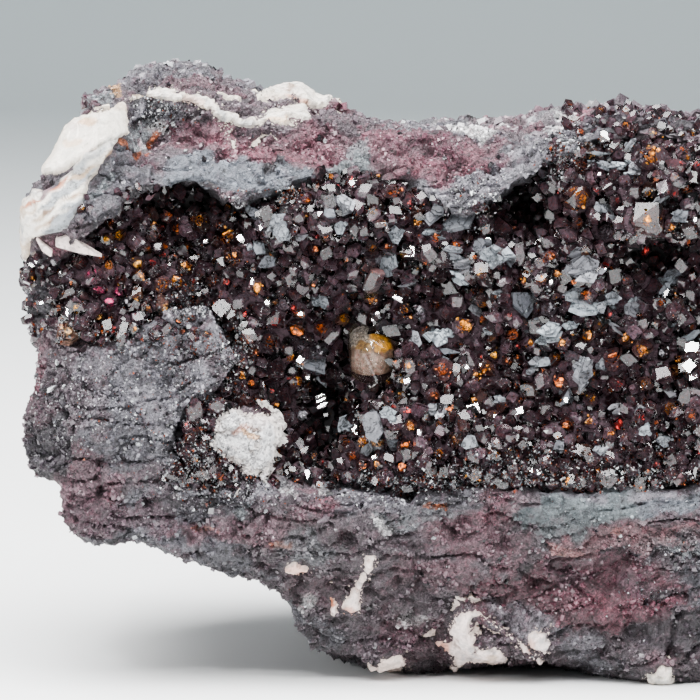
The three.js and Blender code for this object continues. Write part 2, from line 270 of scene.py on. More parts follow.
@dataclass(frozen=True)
class Sight:
    """Looks at the block from the front, and finds what lies behind a place on its front."""

    middle: tuple[float, float] = (22.13, 23.13)  # the place that the eye looks at, in mm
    height: float = 23.26  # how high that place lies on the front plane, in mm
    distance: float = 420 * MM  # of the eye from the front
    elevation: float = 6.0  # how far the eye looks down, in degrees

    @property
    def target(self) -> Vector:
        """The point looked at."""
        return Vector((BLOCK_LEFT + self.middle[0] * MM, BLOCK_FRONT, self.height * MM))

    @property
    def backwards(self) -> Vector:
        """The way from the target to the eye."""
        tilt = math.radians(self.elevation)
        return Vector((0, -math.cos(tilt), math.sin(tilt)))

    @property
    def upwards(self) -> Vector:
        """Up, as the eye sees it."""
        tilt = math.radians(self.elevation)
        return Vector((0, math.sin(tilt), math.cos(tilt)))

    @property
    def eye(self) -> Vector:
        """Where the eye stands."""
        return self.target + self.backwards * self.distance

    def point(self, x: float, z: float) -> Vector:
        """The point of the front plane at a place in mm."""
        across = Vector((1, 0, 0)) * (x - self.middle[0]) * MM
        return self.target + across + self.upwards * (z - self.middle[1]) * MM

    def places(self, points: Rows) -> Rows:
        """Where points are seen, in mm from the left end and above the floor."""
        rays = points - np.array(self.eye)
        share = self.distance / -(rays @ np.array(self.backwards)) / MM
        across = self.middle[0] + rays[:, 0] * share
        up = self.middle[1] + rays @ np.array(self.upwards) * share
        return np.stack((across, up), axis=1)

    def place(self, point: Vector) -> tuple[float, float]:
        """Where one point is seen."""
        across, up = self.places(np.array([point]))[0]
        return across, up

    def look(self, tree: BVHTree, x: float, z: float) -> tuple[Vector, Vector] | None:
        """The point that lies behind a place on the front, and the way its surface faces.

        Args:
            tree: the surfaces that may be hit.
            x: mm from the left end.
            z: mm above the floor.

        Returns:
            The two, or None.
        """
        ray = (self.point(x, z) - self.eye).normalized()
        hit, facing, _, _ = tree.ray_cast(self.eye, ray)
        return (hit, facing) if hit else None


    def hits(self, tree: BVHTree, rows: Iterable[tuple[float, ...]]) -> Iterator[tuple]:
        """What lies behind each row's place, with the rest of the row, where anything does."""
        for x, z, *rest in rows:
            seen = self.look(tree, x, z)
            if seen:
                yield *seen, rest


SIGHT = Sight()


def opened(*meshes: Mesh) -> BMesh:
    """Some meshes as one new bmesh."""
    bm = bmesh.new()
    for mesh in meshes:
        bm.from_mesh(mesh)
    return bm


def closed(bm: BMesh, name: str) -> Mesh:
    """A new mesh of a bmesh, which is freed."""
    mesh = bpy.data.meshes.new(name)
    bm.to_mesh(mesh)
    bm.free()
    return mesh


def softened(bm: BMesh, times: int) -> None:
    """Smooths a bmesh that many times."""
    axes = {"use_axis_" + axis: True for axis in "xyz"}
    for _ in range(times):
        bmesh.ops.smooth_vert(bm, verts=bm.verts, factor=0.5, **axes)
    bm.normal_update()


def rounded(bm: BMesh, edges: list[BMEdge], offset: float) -> None:
    """Rounds edges off a little."""
    bmesh.ops.bevel(bm, geom=edges, offset=offset, segments=2, profile=0.5, affect="EDGES", material=-1)


def placed(name: str, data: ID) -> Object:
    """A new object of the scene."""
    obj = bpy.data.objects.new(name, data)
    bpy.context.scene.collection.objects.link(obj)
    return obj


def roughness(points: Rows, size: float, octaves: int, seed: float) -> Rows:
    """Fractal noise at each of some points, with lumps of that size in mm."""
    return np.array([rough(Vector(p), size * MM, octaves, seed) for p in points])


def tree_of(*meshes: Mesh) -> BVHTree:
    """The surfaces of some meshes, as one tree to cast rays at."""
    bm = opened(*meshes)
    tree = BVHTree.FromBMesh(bm)
    bm.free()
    return tree


def piece_of(
    name: str, mesh: Mesh, material: Material, slot: str, *nodes: str
) -> Object:
    """Makes a finished piece of a mesh.

    Args:
        name: the piece's name.
        mesh: its mesh, in the frame's place.
        material: its finish.
        slot: the name of a material slot; not used.
        nodes: the CAD nodes that it stands for.

    Returns:
        The object.
    """
    low, high = (np.array(corner) for corner in CAD_BOX)
    place = corners_of(mesh)
    mesh.vertices.foreach_set("co", np.clip(place, low, high).ravel())
    mesh.update()
    mesh.name = name
    obj = placed(name, mesh)
    mesh.materials.clear()
    mesh.materials.append(material)
    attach(obj, BODY)
    if nodes:
        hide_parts(*nodes)
    mesh.calc_loop_triangles()
    LOG.info("%s: %d triangles", name, len(mesh.loop_triangles))
    return obj


def corners_of(mesh: Mesh) -> Rows:
    """The mesh's points, one row each."""
    place = np.zeros(len(mesh.vertices) * 3)
    mesh.vertices.foreach_get("co", place)
    return place.reshape(-1, 3)


def remeshed(voxel: float, swell: float, *nodes: str) -> Mesh:
    """The shape of some CAD nodes as one even mesh.

    Args:
        voxel: size of the mesh's cells, in metres.
        swell: how far each node but the first is blown up before they are joined, in metres.
        nodes: the nodes' names.

    Returns:
        A new mesh.
    """
    joined = bmesh.new()
    for number, node in enumerate(nodes):
        bm = opened(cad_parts[node].data)
        bmesh.ops.remove_doubles(bm, verts=bm.verts, dist=0.001 * MM)
        bm.normal_update()
        for vert in bm.verts:
            vert.co += vert.normal * (swell if number else 0.0)
        part = closed(bm, node + "_copy")
        joined.from_mesh(part)
        bpy.data.meshes.remove(part)
    coarse = closed(joined, nodes[0] + "_coarse")
    obj = placed(coarse.name, coarse)
    modifier = obj.modifiers.new("even", "REMESH")
    modifier.mode = "VOXEL"
    modifier.voxel_size = voxel
    evaluated = obj.evaluated_get(bpy.context.evaluated_depsgraph_get())
    mesh = bpy.data.meshes.new_from_object(evaluated)
    bpy.data.objects.remove(obj)
    bpy.data.meshes.remove(coarse)
    return mesh


def coloured(mesh: Mesh, name: str, values: Rows) -> None:
    """Gives a mesh a colour attribute.

    Args:
        mesh: the mesh.
        name: of the attribute.
        values: one row of four numbers for each point.
    """
    if name in mesh.attributes:
        mesh.attributes.remove(mesh.attributes[name])
    attribute = mesh.attributes.new(name, "FLOAT_COLOR", "POINT")
    attribute.data.foreach_set("color", np.ascontiguousarray(values, np.float32).ravel())


@dataclass
class Mould:
    """A small shape that is repeated, taken from a bmesh."""

    corners: Rows
    faces: list[list[int]]
    facet: Vector  # the way that its largest slanting face looks

    @classmethod
    def of(cls, bm: BMesh) -> "Mould":
        """The mould of a bmesh, which is freed."""
        bm.verts.index_update()
        bm.normal_update()
        corners = np.array([v.co[:] for v in bm.verts])
        faces = [[v.index for v in f.verts] for f in bm.faces]
        facet = max(bm.faces, key=lambda f: f.calc_area() * (f.normal.z > 0.2)).normal.copy()
        bm.free()
        return cls(corners, faces, facet)


class Heap:
    """Many small shapes joined into one mesh, each with its own place and tint."""

    def __init__(self) -> None:
        """Starts an empty heap."""
        self.corners: list[Rows] = []
        self.faces: list[list[int]] = []
        self.tints: list[Rows] = []
        self.count = 0

    def put(self, mould: Mould, place: Matrix, tint: Sequence[float], shine: float = 0.0) -> None:
        """Adds one shape.

        Args:
            mould: its shape.
            place: its place, turn and size.
            tint: its colour.
            shine: the fourth number of its colour.
        """
        turned = mould.corners @ np.array(place.to_3x3()).T + np.array(place.translation)
        self.corners.append(turned)
        count = self.count
        self.faces.extend([count + i for i in face] for face in mould.faces)
        self.tints.append(np.tile((*tint, shine), (len(turned), 1)))
        self.count += len(turned)

    def mesh(self, name: str) -> Mesh:
        """The heap as a mesh with a point attribute named tint."""
        mesh = bpy.data.meshes.new(name)
        mesh.from_pydata(np.concatenate(self.corners).tolist(), [], self.faces)
        coloured(mesh, "tint", np.concatenate(self.tints))
        mesh.update()
        return mesh


def stood(at: Vector, axis: Vector, spin: float, size: Sequence[float]) -> Matrix:
    """The matrix of a shape that stands at a point: its z along the axis, its spin in radians, its scale."""
    turn = axis.to_track_quat("Z", "Y") @ Quaternion((0, 0, 1), spin)
    return Matrix.LocRotScale(at, turn, Vector(size))


def shaken(dice: random.Random, reach: float) -> Vector:
    """A random vector, each part of it within that reach."""
    return Vector([dice.uniform(-reach, reach) for _ in range(3)])


@dataclass
class Throw:
    """Points thrown evenly over a mesh."""

    points: Rows
    facing: Rows  # the way that the surface faces at each
    corner: Rows  # the number of a mesh point beside each

    @classmethod
    def over(cls, mesh: Mesh, count: int, seed: int, weight: Rows | None = None) -> "Throw":
        """Throws points over a mesh.

        Args:
            mesh: the surface.
            count: how many points.
            seed: of the throws.
            weight: how much each of the mesh's points draws them, or None where all draw alike.

        Returns:
            The thrown points.
        """
        mesh.calc_loop_triangles()
        corner = np.zeros(len(mesh.loop_triangles) * 3, np.int32)
        mesh.loop_triangles.foreach_get("vertices", corner)
        corner = corner.reshape(-1, 3)
        triangles = corners_of(mesh)[corner]
        across = np.cross(triangles[:, 1] - triangles[:, 0], triangles[:, 2] - triangles[:, 0])
        area = np.linalg.norm(across, axis=1)
        pull = area if weight is None else area * weight[corner].mean(1)
        dice = np.random.default_rng(seed)
        chosen = dice.choice(len(corner), count, p=pull / pull.sum())
        share = dice.random((count, 2))
        share[share.sum(1) > 1] = 1 - share[share.sum(1) > 1]
        picked = triangles[chosen]
        points = (
            picked[:, 0]
            + (picked[:, 1] - picked[:, 0]) * share[:, :1]
            + (picked[:, 2] - picked[:, 0]) * share[:, 1:]
        )
        return cls(points, across[chosen] / np.maximum(area[chosen, None], 1e-20), corner[chosen, 0])

    def apart(
        self, gap: Callable[[Vector], float], taken: Iterable[tuple[Vector, float]] = ()
    ) -> list[tuple[Vector, Vector]]:
        """Keeps the points that have room round them.

        Args:
            gap: the room that a point there needs, in metres.
            taken: points that have their room already.

        Returns:
            The kept points and the ways that the surface faces there.
        """
        cell = 0.8 * MM
        grid: dict[tuple[int, int, int], list[tuple[Vector, float]]] = {}

        def home(point: Vector) -> tuple[int, int, int]:
            return tuple(int(math.floor(c / cell)) for c in point)

        for point, room in taken:
            grid.setdefault(home(point), []).append((point, room))
        reach = [(i, j, k) for i in range(-2, 3) for j in range(-2, 3) for k in range(-2, 3)]
        kept = []
        for spot, way in zip(self.points, self.facing):
            point = Vector(spot)
            room = gap(point)
            at = home(point)
            near = (o for i, j, k in reach for o in grid.get((at[0] + i, at[1] + j, at[2] + k), ()))
            if any((point - p).length < (room + r) / 2 for p, r in near):
                continue
            grid.setdefault(at, []).append((point, room))
            kept.append((point, Vector(way)))
        return kept


# ---- the block ----


class Hue(Enum):
    """Colours of the rock and the barite, as a maker would mix them."""

    PLUM_GREY = "6a5d65"
    MID_GREY = "6c6a72"
    BLUE_GREY = "7b808a"
    TEAL_GREY = "7c868b"
    PALE_GREY = "8f8c95"
    DARK_GREY = "36333a"
    RUST_PLUM = "755660"
    ROSE = "84505e"
    WINE = "5f404c"
    OCHRE = "b0581c"
    SALMON = "c9856b"
    CREAM = "f4ece0"
    BLUSH = "ead6d0"
    CHALK = "ebe9ea"
    SAND = "b59a7e"
    APRICOT = "dfae7c"
    UMBER = "6e4a2e"
    PINK = "bb848c"
    MULBERRY = "6a434e"
    ASH = "8d9499"

    @property
    def rgb(self) -> Colour:
        """The colour, linear."""
        return colour(self.value)


@dataclass(frozen=True)
class Zone:
    """A patch of the block's front: its middle and half sizes in mm, and what it looks like."""

    x: float
    z: float
    wide: float
    high: float
    hue: Hue = Hue.CHALK
    share: float = 1.0  # how strongly it covers what lies under it
    turn: float = 0.0  # in degrees
    shine: float = 0.0  # how smooth and metallic it is

    def mask(self, across: Rows, up: Rows) -> Rows:
        """How much each place belongs to the patch, from 0 to 1, falling off at its edge.

        Args:
            across: the places' mm from the left end.
            up: their mm above the floor.

        Returns:
            The shares.
        """
        tilt = math.radians(self.turn)
        dx, dz = across - self.x, up - self.z
        along = (dx * math.cos(tilt) + dz * math.sin(tilt)) / self.wide
        aside = (dz * math.cos(tilt) - dx * math.sin(tilt)) / self.high
        return np.exp(-((along**2 + aside**2) ** 1.5))


@dataclass(frozen=True)
class Nudge:
    """A place where the block's outline is moved to the right and up, in mm."""

    zone: Zone
    across: float
    up: float


def zones(*rows: tuple) -> tuple[Zone, ...]:
    """Patches, each from the row of its values."""
    return tuple(Zone(*row) for row in rows)


def plain_zones(*rows: tuple[float, ...]) -> tuple[Zone, ...]:
    """Patches of no colour of their own, each from its middle, its half sizes and maybe its share."""
    return tuple(Zone(*row[:4], share=(*row, 1.0)[4]) for row in rows)


NUDGES = tuple(
    Nudge(Zone(*row[:4]), *row[4:])
    for row in (
        (2, 38, 2.6, 2.6, 1.7, -0.2), (0, 22.5, 2.5, 3.2, 0.8, 0), (2.4, 14, 1.1, 0.9, 0.3, 0.1),
        (4, 11.4, 2.4, 1.9, -0.4, -1.7), (19, 41.6, 4.2, 2, 0, -1.3), (19.9, 40.8, 0.9, 1.4, 0, -0.9),
        (22.6, 40.2, 1.3, 1.4, 0, 0.5), (25.8, 39.4, 1.6, 1.6, 0, -0.3), (8.4, 41.4, 1.5, 1.4, 0, 0.7),
        (13.9, 41.6, 0.8, 1.4, 0, -0.7), (5.6, 40, 1.6, 1.4, -0.6, 0.6), (3.4, 12.8, 1.4, 1.2, -0.6, 0),
        (13.5, 9, 4, 2, 0, -0.9), (20.5, 4.2, 2.4, 2.2, -0.3, -0.6), (35.4, 39.6, 1.6, 1.6, 0, 0.25),
        (2, 15.1, 1.1, 0.9, -0.7, 0),
    )
)  # each place's middle and half sizes, then how far it moves to the right and up, in mm
ROCK_ZONES = zones(
    (12, 42, 7, 1.8, Hue.MID_GREY, 0.8), (18, 39.5, 9, 2, Hue.PLUM_GREY),
    (12.5, 40.9, 3, 0.7, Hue.RUST_PLUM, 0.8), (21.5, 36.6, 12, 2, Hue.RUST_PLUM),
    (12, 37.7, 2.6, 0.9, Hue.ROSE, 0.6, 5), (15.6, 36.6, 3, 1, Hue.ROSE, 0.7, -8),
    (19.5, 36.7, 2.2, 1.1, Hue.ROSE, 0.6), (24.5, 37, 1.8, 1.2, Hue.ROSE, 0.5),
    (28.5, 35.6, 2.8, 1.6, Hue.ROSE, 0.7), (27.4, 36.9, 3, 0.7, Hue.WINE, 0.6),
    (22.5, 36, 1.2, 1, Hue.ASH, 0.7), (13, 34.9, 7.5, 1.3, Hue.BLUE_GREY, 1, -3, 0.7),
    (19, 33.9, 4, 1.4, Hue.BLUE_GREY, 1, 12, 0.7), (22, 34.3, 1.8, 1.6, Hue.ASH, 1, 30, 0.5),
    (7.6, 34.8, 2.4, 1.3, Hue.MID_GREY, 1, 30, 0.4), (5.6, 34, 1, 0.5, Hue.ASH, 0.8, 38),
    (9, 35.9, 2, 0.5, Hue.PLUM_GREY, 0.9, 10, 0.3), (8.6, 33.7, 1.9, 0.5, Hue.DARK_GREY, 0.8, 12),
    # The near-black patch at 1.4, 26.8 is painted shade under the crystals at the block's left end, like the
    # vug's skin.
    (12, 34, 1.6, 0.35, Hue.DARK_GREY, 0.7, -8), (1.4, 26.8, 1.7, 2.6, Hue.DARK_GREY, 0.97),
    (16.9, 35.6, 0.7, 0.5, Hue.DARK_GREY), (9.6, 39, 1.9, 1.2, Hue.DARK_GREY),
    (8.4, 37.6, 1.6, 0.6, Hue.ASH, 0.8, 20), (6.9, 36.4, 0.6, 0.16, Hue.OCHRE, 0.8, 20),
    (8, 36.8, 0.5, 0.14, Hue.OCHRE, 0.8, 22), (9, 37.1, 0.4, 0.12, Hue.OCHRE, 0.7, 15),
    (9.4, 37.5, 0.8, 0.3, Hue.CHALK, 0.7), (8.6, 36.2, 0.8, 0.4, Hue.WINE, 0.8),
    (6.4, 40.5, 0.55, 0.5, Hue.APRICOT, 0.9, 30), (5.4, 39.9, 0.8, 0.6, Hue.ASH, 0.8, 30),
    (4.3, 39.2, 0.8, 0.4, Hue.WINE, 1, 50), (35, 36, 3.5, 1.6, Hue.PALE_GREY, 0.9, 25, 0.5),
    (31.5, 33.8, 2.5, 1.5, Hue.PALE_GREY, 0.9, 30, 0.5), (28.5, 33, 2.6, 1.2, Hue.PALE_GREY, 0.9, 0, 0.4),
    (8, 19, 6, 5, Hue.MID_GREY, 1, 0, 0.4), (3.5, 20.5, 2.6, 4, Hue.PLUM_GREY),
    (13.2, 24.2, 1.6, 1.2, Hue.PALE_GREY, 1, 30, 0.8), (12.2, 21.5, 1.2, 0.9, Hue.PALE_GREY, 1, -20, 0.8),
    (9, 19.6, 2.6, 1.6, Hue.PALE_GREY, 0.8, -30, 0.7), (6, 22.4, 2.8, 1, Hue.PALE_GREY, 0.6, 10, 0.6),
    (9.2, 16, 1.4, 2, Hue.PALE_GREY, 0.6, 20, 0.6), (17.3, 13.2, 3, 1, Hue.PLUM_GREY, 1, 0, 0.3),
    (11, 14, 3, 1.6, Hue.PLUM_GREY), (3.5, 14.5, 4, 2.6, Hue.RUST_PLUM, 0.9),
    # The dark grey patch at 1.8, 17.5 is painted shade on the block's lower left end.
    (1.8, 17.5, 1.8, 3.6, Hue.DARK_GREY, 0.9), (1.4, 19, 1.2, 1.2, Hue.WINE, 0.6),
    (6, 11.8, 5, 1.6, Hue.WINE, 0.7), (12, 12.4, 3, 1.2, Hue.DARK_GREY, 0.7, -10),
    (16, 10.8, 3.5, 1.2, Hue.RUST_PLUM, 0.7, -15), (26, 13.3, 6, 1.2, Hue.MID_GREY, 0.9, 0, 0.4),
    (26.6, 11.6, 3.4, 0.8, Hue.ASH, 0.6, 10, 0.3), (38, 12.6, 5.5, 1.3, Hue.TEAL_GREY, 1, 3, 0.7),
    (44, 13.3, 3, 1.1, Hue.BLUE_GREY, 1, 8, 0.6), (36, 11, 4, 0.6, Hue.ASH, 0.9, 10, 0.4),
    (42, 10.9, 5, 0.7, Hue.RUST_PLUM, 1, 2), (36.6, 9.9, 0.9, 0.5, Hue.SALMON, 0.5, -4),
    (39.4, 10.5, 0.5, 0.25, Hue.OCHRE, 0.8), (43, 10.4, 0.3, 0.15, Hue.OCHRE, 0.8),
    (44.3, 10.1, 0.25, 0.15, Hue.OCHRE, 0.8), (43.5, 9.9, 3.2, 0.7, Hue.ASH, 0.8, -3),
    (40.8, 10.2, 5.5, 0.9, Hue.PINK, 0.6, 2), (38, 8.4, 7, 1, Hue.ROSE, 0.6, -4),
    (31, 10.2, 4, 1.2, Hue.RUST_PLUM, 0.9), (37, 6.6, 8, 2.4, Hue.MULBERRY),
    (41.5, 5.5, 3, 0.7, Hue.ROSE, 0.8, 6), (36.5, 8, 2, 0.8, Hue.WINE, 0.9, -10),
    (34, 8.6, 1, 0.5, Hue.DARK_GREY, 0.8, 20), (41.5, 7.2, 2.2, 0.8, Hue.WINE, 0.9, -20),
    (43, 6.8, 0.9, 0.6, Hue.DARK_GREY, 0.8), (39.5, 6, 3, 0.5, Hue.ROSE, 0.8, 5),
    (33.5, 5, 2.6, 0.8, Hue.PALE_GREY, 0.7, -25), (30, 3.2, 6, 2, Hue.WINE, 0.6),
    (38, 2.6, 1.4, 1.4, Hue.PALE_GREY, 0.7, 0, 0.3), (43.5, 4, 3.5, 1.5, Hue.DARK_GREY, 0.6),
    (24, 7.5, 5.5, 3.2, Hue.PLUM_GREY, 0.9), (27.5, 8, 3.2, 1.4, Hue.RUST_PLUM, 0.9),
    (19.5, 9.8, 2.5, 0.9, Hue.ASH, 0.5), (20, 7.2, 3, 1.2, Hue.WINE, 0.6),
    (28.2, 13.1, 0.6, 0.5, Hue.OCHRE, 0.8), (30.6, 38.3, 1.7, 0.7, Hue.CHALK),
    (36.2, 38.3, 0.9, 0.7, Hue.CHALK), (34.8, 37.3, 0.6, 0.35, Hue.CHALK),
    (45.2, 39.4, 0.8, 0.4, Hue.OCHRE, 0.9), (17.8, 13.7, 0.55, 0.3, Hue.CHALK, 0.9),
    (20.6, 13.8, 0.8, 0.45, Hue.CHALK, 0.9, -35), (12.6, 15.1, 0.6, 0.6, Hue.CHALK, 0.8),
    (11, 13.9, 0.4, 0.5, Hue.CHALK, 0.8), (14.5, 12.4, 0.5, 0.4, Hue.ASH, 0.9),
    (19.2, 6.3, 0.6, 0.6, Hue.CHALK, 0.75), (24.1, 11, 0.5, 0.4, Hue.CHALK, 0.8),
    (13.2, 10.6, 3.6, 0.6, Hue.RUST_PLUM, 0.9, -6), (12.2, 10.8, 1.4, 0.2, Hue.OCHRE, 0.35, -6),
    (17.2, 10.1, 0.9, 0.25, Hue.OCHRE, 0.45, -8), (26.4, 4.6, 0.8, 0.5, Hue.CHALK, 0.5),
    # The dark grey patch at 43.4, 38.8 is painted shade under the crystals at the top right, like the vug's
    # skin.
    (43.4, 38.8, 5, 1.8, Hue.DARK_GREY, 0.85), (34.4, 38.8, 2.4, 1, Hue.ASH, 0.6),
    (5.5, 18.5, 6.5, 5, Hue.DARK_GREY, 0.22), (17, 13, 3.8, 1.4, Hue.DARK_GREY, 0.28),
)
GRAINY_ZONES = plain_zones(
    (11.5, 21.8, 3, 2.8, 0.4), (10.5, 17, 3.2, 2.6, 0.3), (14.6, 22, 0.9, 2.2), (13.2, 18.4, 0.9, 1.8, 0.9),
    (7.5, 24.3, 5, 0.45, 0.9), (5.5, 20, 4.5, 3.8, 0.3), (14.5, 13.9, 4, 1.3, 0.6), (12, 15, 2.5, 1.6),
    (13.8, 32.7, 2.6, 0.7), (18, 33.3, 1.2, 1.1), (36.5, 36.5, 1.6, 1.6), (11.5, 26, 2.2, 0.9),
    (26, 14, 7, 1.1, 0.7), (37, 14.6, 10, 1), (44.5, 9.9, 4, 1, 0.35), (9.6, 39, 1.9, 1.2),
    (30.5, 33.6, 2, 1.4, 0.6), (42.5, 6.6, 2, 1, 0.25),
)


@dataclass(frozen=True)
class RockFinish:
    """Broken hematite-rich rock, its colour painted on the mesh and its grain added here."""

    grain: float = 0.13 * MM
    speck: float = 0.22 * MM
    depth: float = 0.74  # how light its colours are, 1 as painted

    def build(self) -> Material:
        """Makes the material."""
        desk = Desk("rock")
        tint = desk.attribute("tint")
        shine = tint.outputs["Alpha"]
        fine = desk.noise(self.grain, 3, 0.75)
        mid = desk.noise(0.45 * MM, 4, 0.7)
        light = desk.times(desk.ramp(fine, 0.34, 0.66, 0.2, 1.5), desk.ramp(mid, 0.36, 0.64, 0.4, 1.25))
        ridge = desk.ridges(1.1 * MM, 5, 0.65)
        smooth = desk.times(desk.ramp(ridge, 0, 0.03, 0.35, 0.9), desk.ramp(mid, 0.36, 0.64, 0.75, 1.1))
        light = desk.mix(desk.times(shine, 0.85), desk.grey(light), desk.grey(smooth))
        shade = desk.shaded(tint.outputs["Color"], light)
        blood = desk.ramp(desk.noise(0.8 * MM, 4, 0.7), 0.52, 0.66, 0, 0.8)
        blood = desk.times(blood, desk.maths("SUBTRACT", 1, shine))
        shade = desk.mix(blood, shade, desk.shaded(shade, (1.1, 0.62, 0.72)))
        pits = desk.ramp(desk.noise(0.3 * MM, 3, 0.6), 0.57, 0.66, 1, 0.2)
        fissure = desk.ridges(1.7 * MM, 6, 0.7)
        pits = desk.times(pits, desk.ramp(fissure, 0, 0.025, 0.35, 1))
        shade = desk.shaded(shade, desk.grey(pits))
        specks = desk.cells(self.speck).outputs["Distance"]
        sparse = desk.ramp(desk.noise(0.8 * MM), 0.5, 0.62)
        dust = desk.times(desk.ramp(specks, 0.04, 0.16, 1, 0), sparse)
        shade = desk.mix(desk.times(dust, 0.75), shade, colour("d8d2d6"))
        gleam = desk.times(shine, desk.ramp(fine, 0.4, 0.6, 0, 0.5))
        shade = desk.shaded(shade, (self.depth, self.depth, self.depth))
        desk.set(Base_Color=shade, Metallic=gleam, Roughness=desk.ramp(fine, 0.3, 0.7, 0.8, 0.42))
        coarse = desk.bump(mid, 0.4 * MM, desk.bump(ridge, 0.5 * MM))
        desk.set(Normal=desk.bump(fine, 0.12 * MM, coarse))
        return desk.material


@dataclass(frozen=True)
class Vein:
    """A body of barite in the block: its CAD node, its outlines on the front, its lumps. Sizes are in mm."""

    node: str
    outlines: tuple[Outline, ...]
    lumps: tuple[tuple[Triple, Triple], ...]  # middles from the block's left, front and floor, and half sizes
    lift: float = 0.15  # how far its face stands out of the rock
    relief: float = 0.14  # how rough its face is
    hue: Hue = Hue.CREAM
    ragged: float = 0.2  # how far its edge wanders
    gaps: float = 0.0  # how much of it the rock shows through, from 0 to 1
    crumbs: float = 0.1  # how crumbly its face is, from 0 to 1
    reach: float = 16.5  # how far behind the block's front its outlines are drawn
    wraps: bool = False  # whether its outlines run on round the block's end

    def inside(self, points: Rows, facing: Rows) -> Rows:
        """How far inside the body places on the block lie.

        Args:
            points: one row for each place, in the frame.
            facing: the way that the block's surface faces there.

        Returns:
            Distances in mm, negative outside it.
        """
        seen = SIGHT.places(points)
        own = (points - np.array((BLOCK_LEFT, BLOCK_FRONT, 0))) / MM
        ahead = (self.reach + np.sin(own[:, 2] * 1.3) - own[:, 1]) * 0.6
        if not self.wraps:
            ahead = np.minimum((facing @ np.array(SIGHT.backwards) - 0.05) * 5, ahead)
        deep = np.full(len(points), -9.0)
        for outline in self.outlines:
            drawn = np.minimum(within(outline, seen[:, 0], seen[:, 1]), ahead + 0.25)
            deep = np.maximum(deep, drawn)
        for middle, half in self.lumps:
            away = np.linalg.norm((own - np.array(middle)) / np.array(half), axis=1)
            body = (1.0 - away) * min(half)
            deep = np.maximum(deep, np.minimum(body, 0.25 - ahead) if self.outlines else body)
        near = np.flatnonzero(deep > -1.0)
        for i in near:
            place = Vector(points[i])
            deep[i] += self.ragged * (rough(place, 0.9 * MM, 3, 4) + 0.5 * rough(place, 0.3 * MM, 2, 6))
            if self.gaps:
                hole = (rough(place, 1.1 * MM, 3, 7) + 0.75 - self.gaps) * 1.2
                deep[i] = min(deep[i], hole)
        return deep


SLAB_FACE = (
    (1.3, 35), (1.8, 35.7), (2.4, 36.5), (2.8, 37.4), (3.3, 38.3), (4.2, 38.8), (5.3, 39), (6, 39.2),
    (6.65, 39.6), (7.1, 39.8), (7.3, 39.4), (7.3, 38.6), (7.5, 37.5), (6.5, 37.1), (5.4, 36.6), (5, 36.3),
    (4.1, 35.6), (3.2, 35.1), (2.4, 34.8),
)
SLAB_FOOT = (
    (1, 33.9), (1.7, 33.8), (2.4, 34.2), (3.2, 35), (4.1, 35.9), (5, 36.6), (5.9, 37.1), (6.8, 37.3),
    (6.2, 36.2), (5.4, 35.1), (4.8, 34.4), (4.6, 33.5), (4.1, 32.7), (3.9, 32.1), (3.1, 31.3), (2.4, 30.8),
    (1.4, 30.6), (0.8, 30.5), (0.7, 29.5), (0.5, 28.7), (0.2, 30), (-0.1, 31.6), (0, 32.4), (0.4, 33.2),
)
SEAM = (
    (7.1, 39.9), (7.6, 40.2), (8.4, 40.3), (8.8, 40.7), (9.4, 40.8), (10.2, 40.7), (11.1, 40.4),
    (11.5, 40.3), (12.4, 40.2), (13, 39.8), (13.6, 39.4), (14.3, 39.1), (14.7, 38.9), (14.9, 38.6),
    (15.9, 38.7), (16.5, 39.2), (17.4, 39.3), (18.1, 39.5), (18.8, 39.6), (20, 39.3), (20, 39.1),
    (19.1, 38.4), (18.3, 38), (17.5, 38.1), (16.7, 38.4), (15.8, 37.9), (15.2, 37.8), (14.7, 38),
    (14.2, 37.8), (14.6, 37), (14.3, 36.7), (13.9, 37.2), (13.5, 37.9), (13.1, 38.5), (12.8, 39.3),
    (12.4, 39.1), (11.9, 39.4), (11.1, 39.7), (10.3, 39.6), (9.6, 39.7), (8.7, 40), (8.3, 40.1),
    (7.2, 39.7),
)
CREST = (
    (15.7, 40.5), (16, 40.9), (16.7, 41.2), (17.5, 41.1), (17.9, 40.6), (18.8, 40.3), (19.6, 39.9),
    (20, 39.5), (19.3, 39.3), (18.5, 39.6), (17.9, 39.9), (16.9, 39.8), (16.1, 40),
)
NODULE = (
    (13.1, 17.3), (13.4, 18.6), (14.4, 19.1), (15.6, 18.7), (16.8, 18.8), (17.3, 18.2), (17.5, 17.4),
    (17, 16.5), (16.8, 15.7), (16.8, 15), (16.4, 14.4), (16.1, 14.9), (15.6, 14.8), (15, 14.9),
    (14.9, 15.5), (14.1, 15.8), (13.5, 16.4), (12.9, 16.7),
)
HEEL = (
    (23.1, 1.8), (24, 1.9), (24.2, 2.5), (25.1, 2.6), (25.6, 2.9), (25.8, 2.3), (26.3, 2), (25.4, 1.7),
    (25.3, 1.2), (24.8, 1.3), (24.6, 1.7), (23.7, 1.4),
)
FOOT_RING = (
    (29.4, 5.7), (30.2, 5.8), (31.1, 5.5), (30.2, 5), (30, 4.4), (30.5, 3.7), (30.8, 3.3), (31.6, 3.3),
    (32.2, 3.1), (32.6, 2.3), (31.6, 2.1), (30.2, 2.3), (29.4, 1.9), (28.6, 1.4), (29.1, 2.4), (28.4, 3.1),
    (28.1, 3.5), (28.9, 3.7), (28.7, 4.4), (28.9, 5.2),
)
FOOT_STAR = (
    (33.9, 4.3), (34.5, 4.6), (35.1, 4.3), (35.6, 4.8), (35.3, 4.1), (35.5, 3.7), (35.6, 2.9), (34.9, 2.7),
    (34.3, 2.9), (34, 3.5),
)
FOOT_LINE = (
    (31.1, 5.5), (32.1, 4.7), (33.5, 3.7), (35, 2.3), (34.9, 2), (33.3, 3.3), (32, 4.5), (30.9, 5.3),
)
CORNER = (
    (41.7, 1.6), (42.3, 1.6), (42.9, 2), (43.7, 1.9), (43.7, 1.1), (43.9, 0.4), (43.3, 0.1), (42.7, 0.4),
    (42.6, 0.8), (41.8, 1),
)
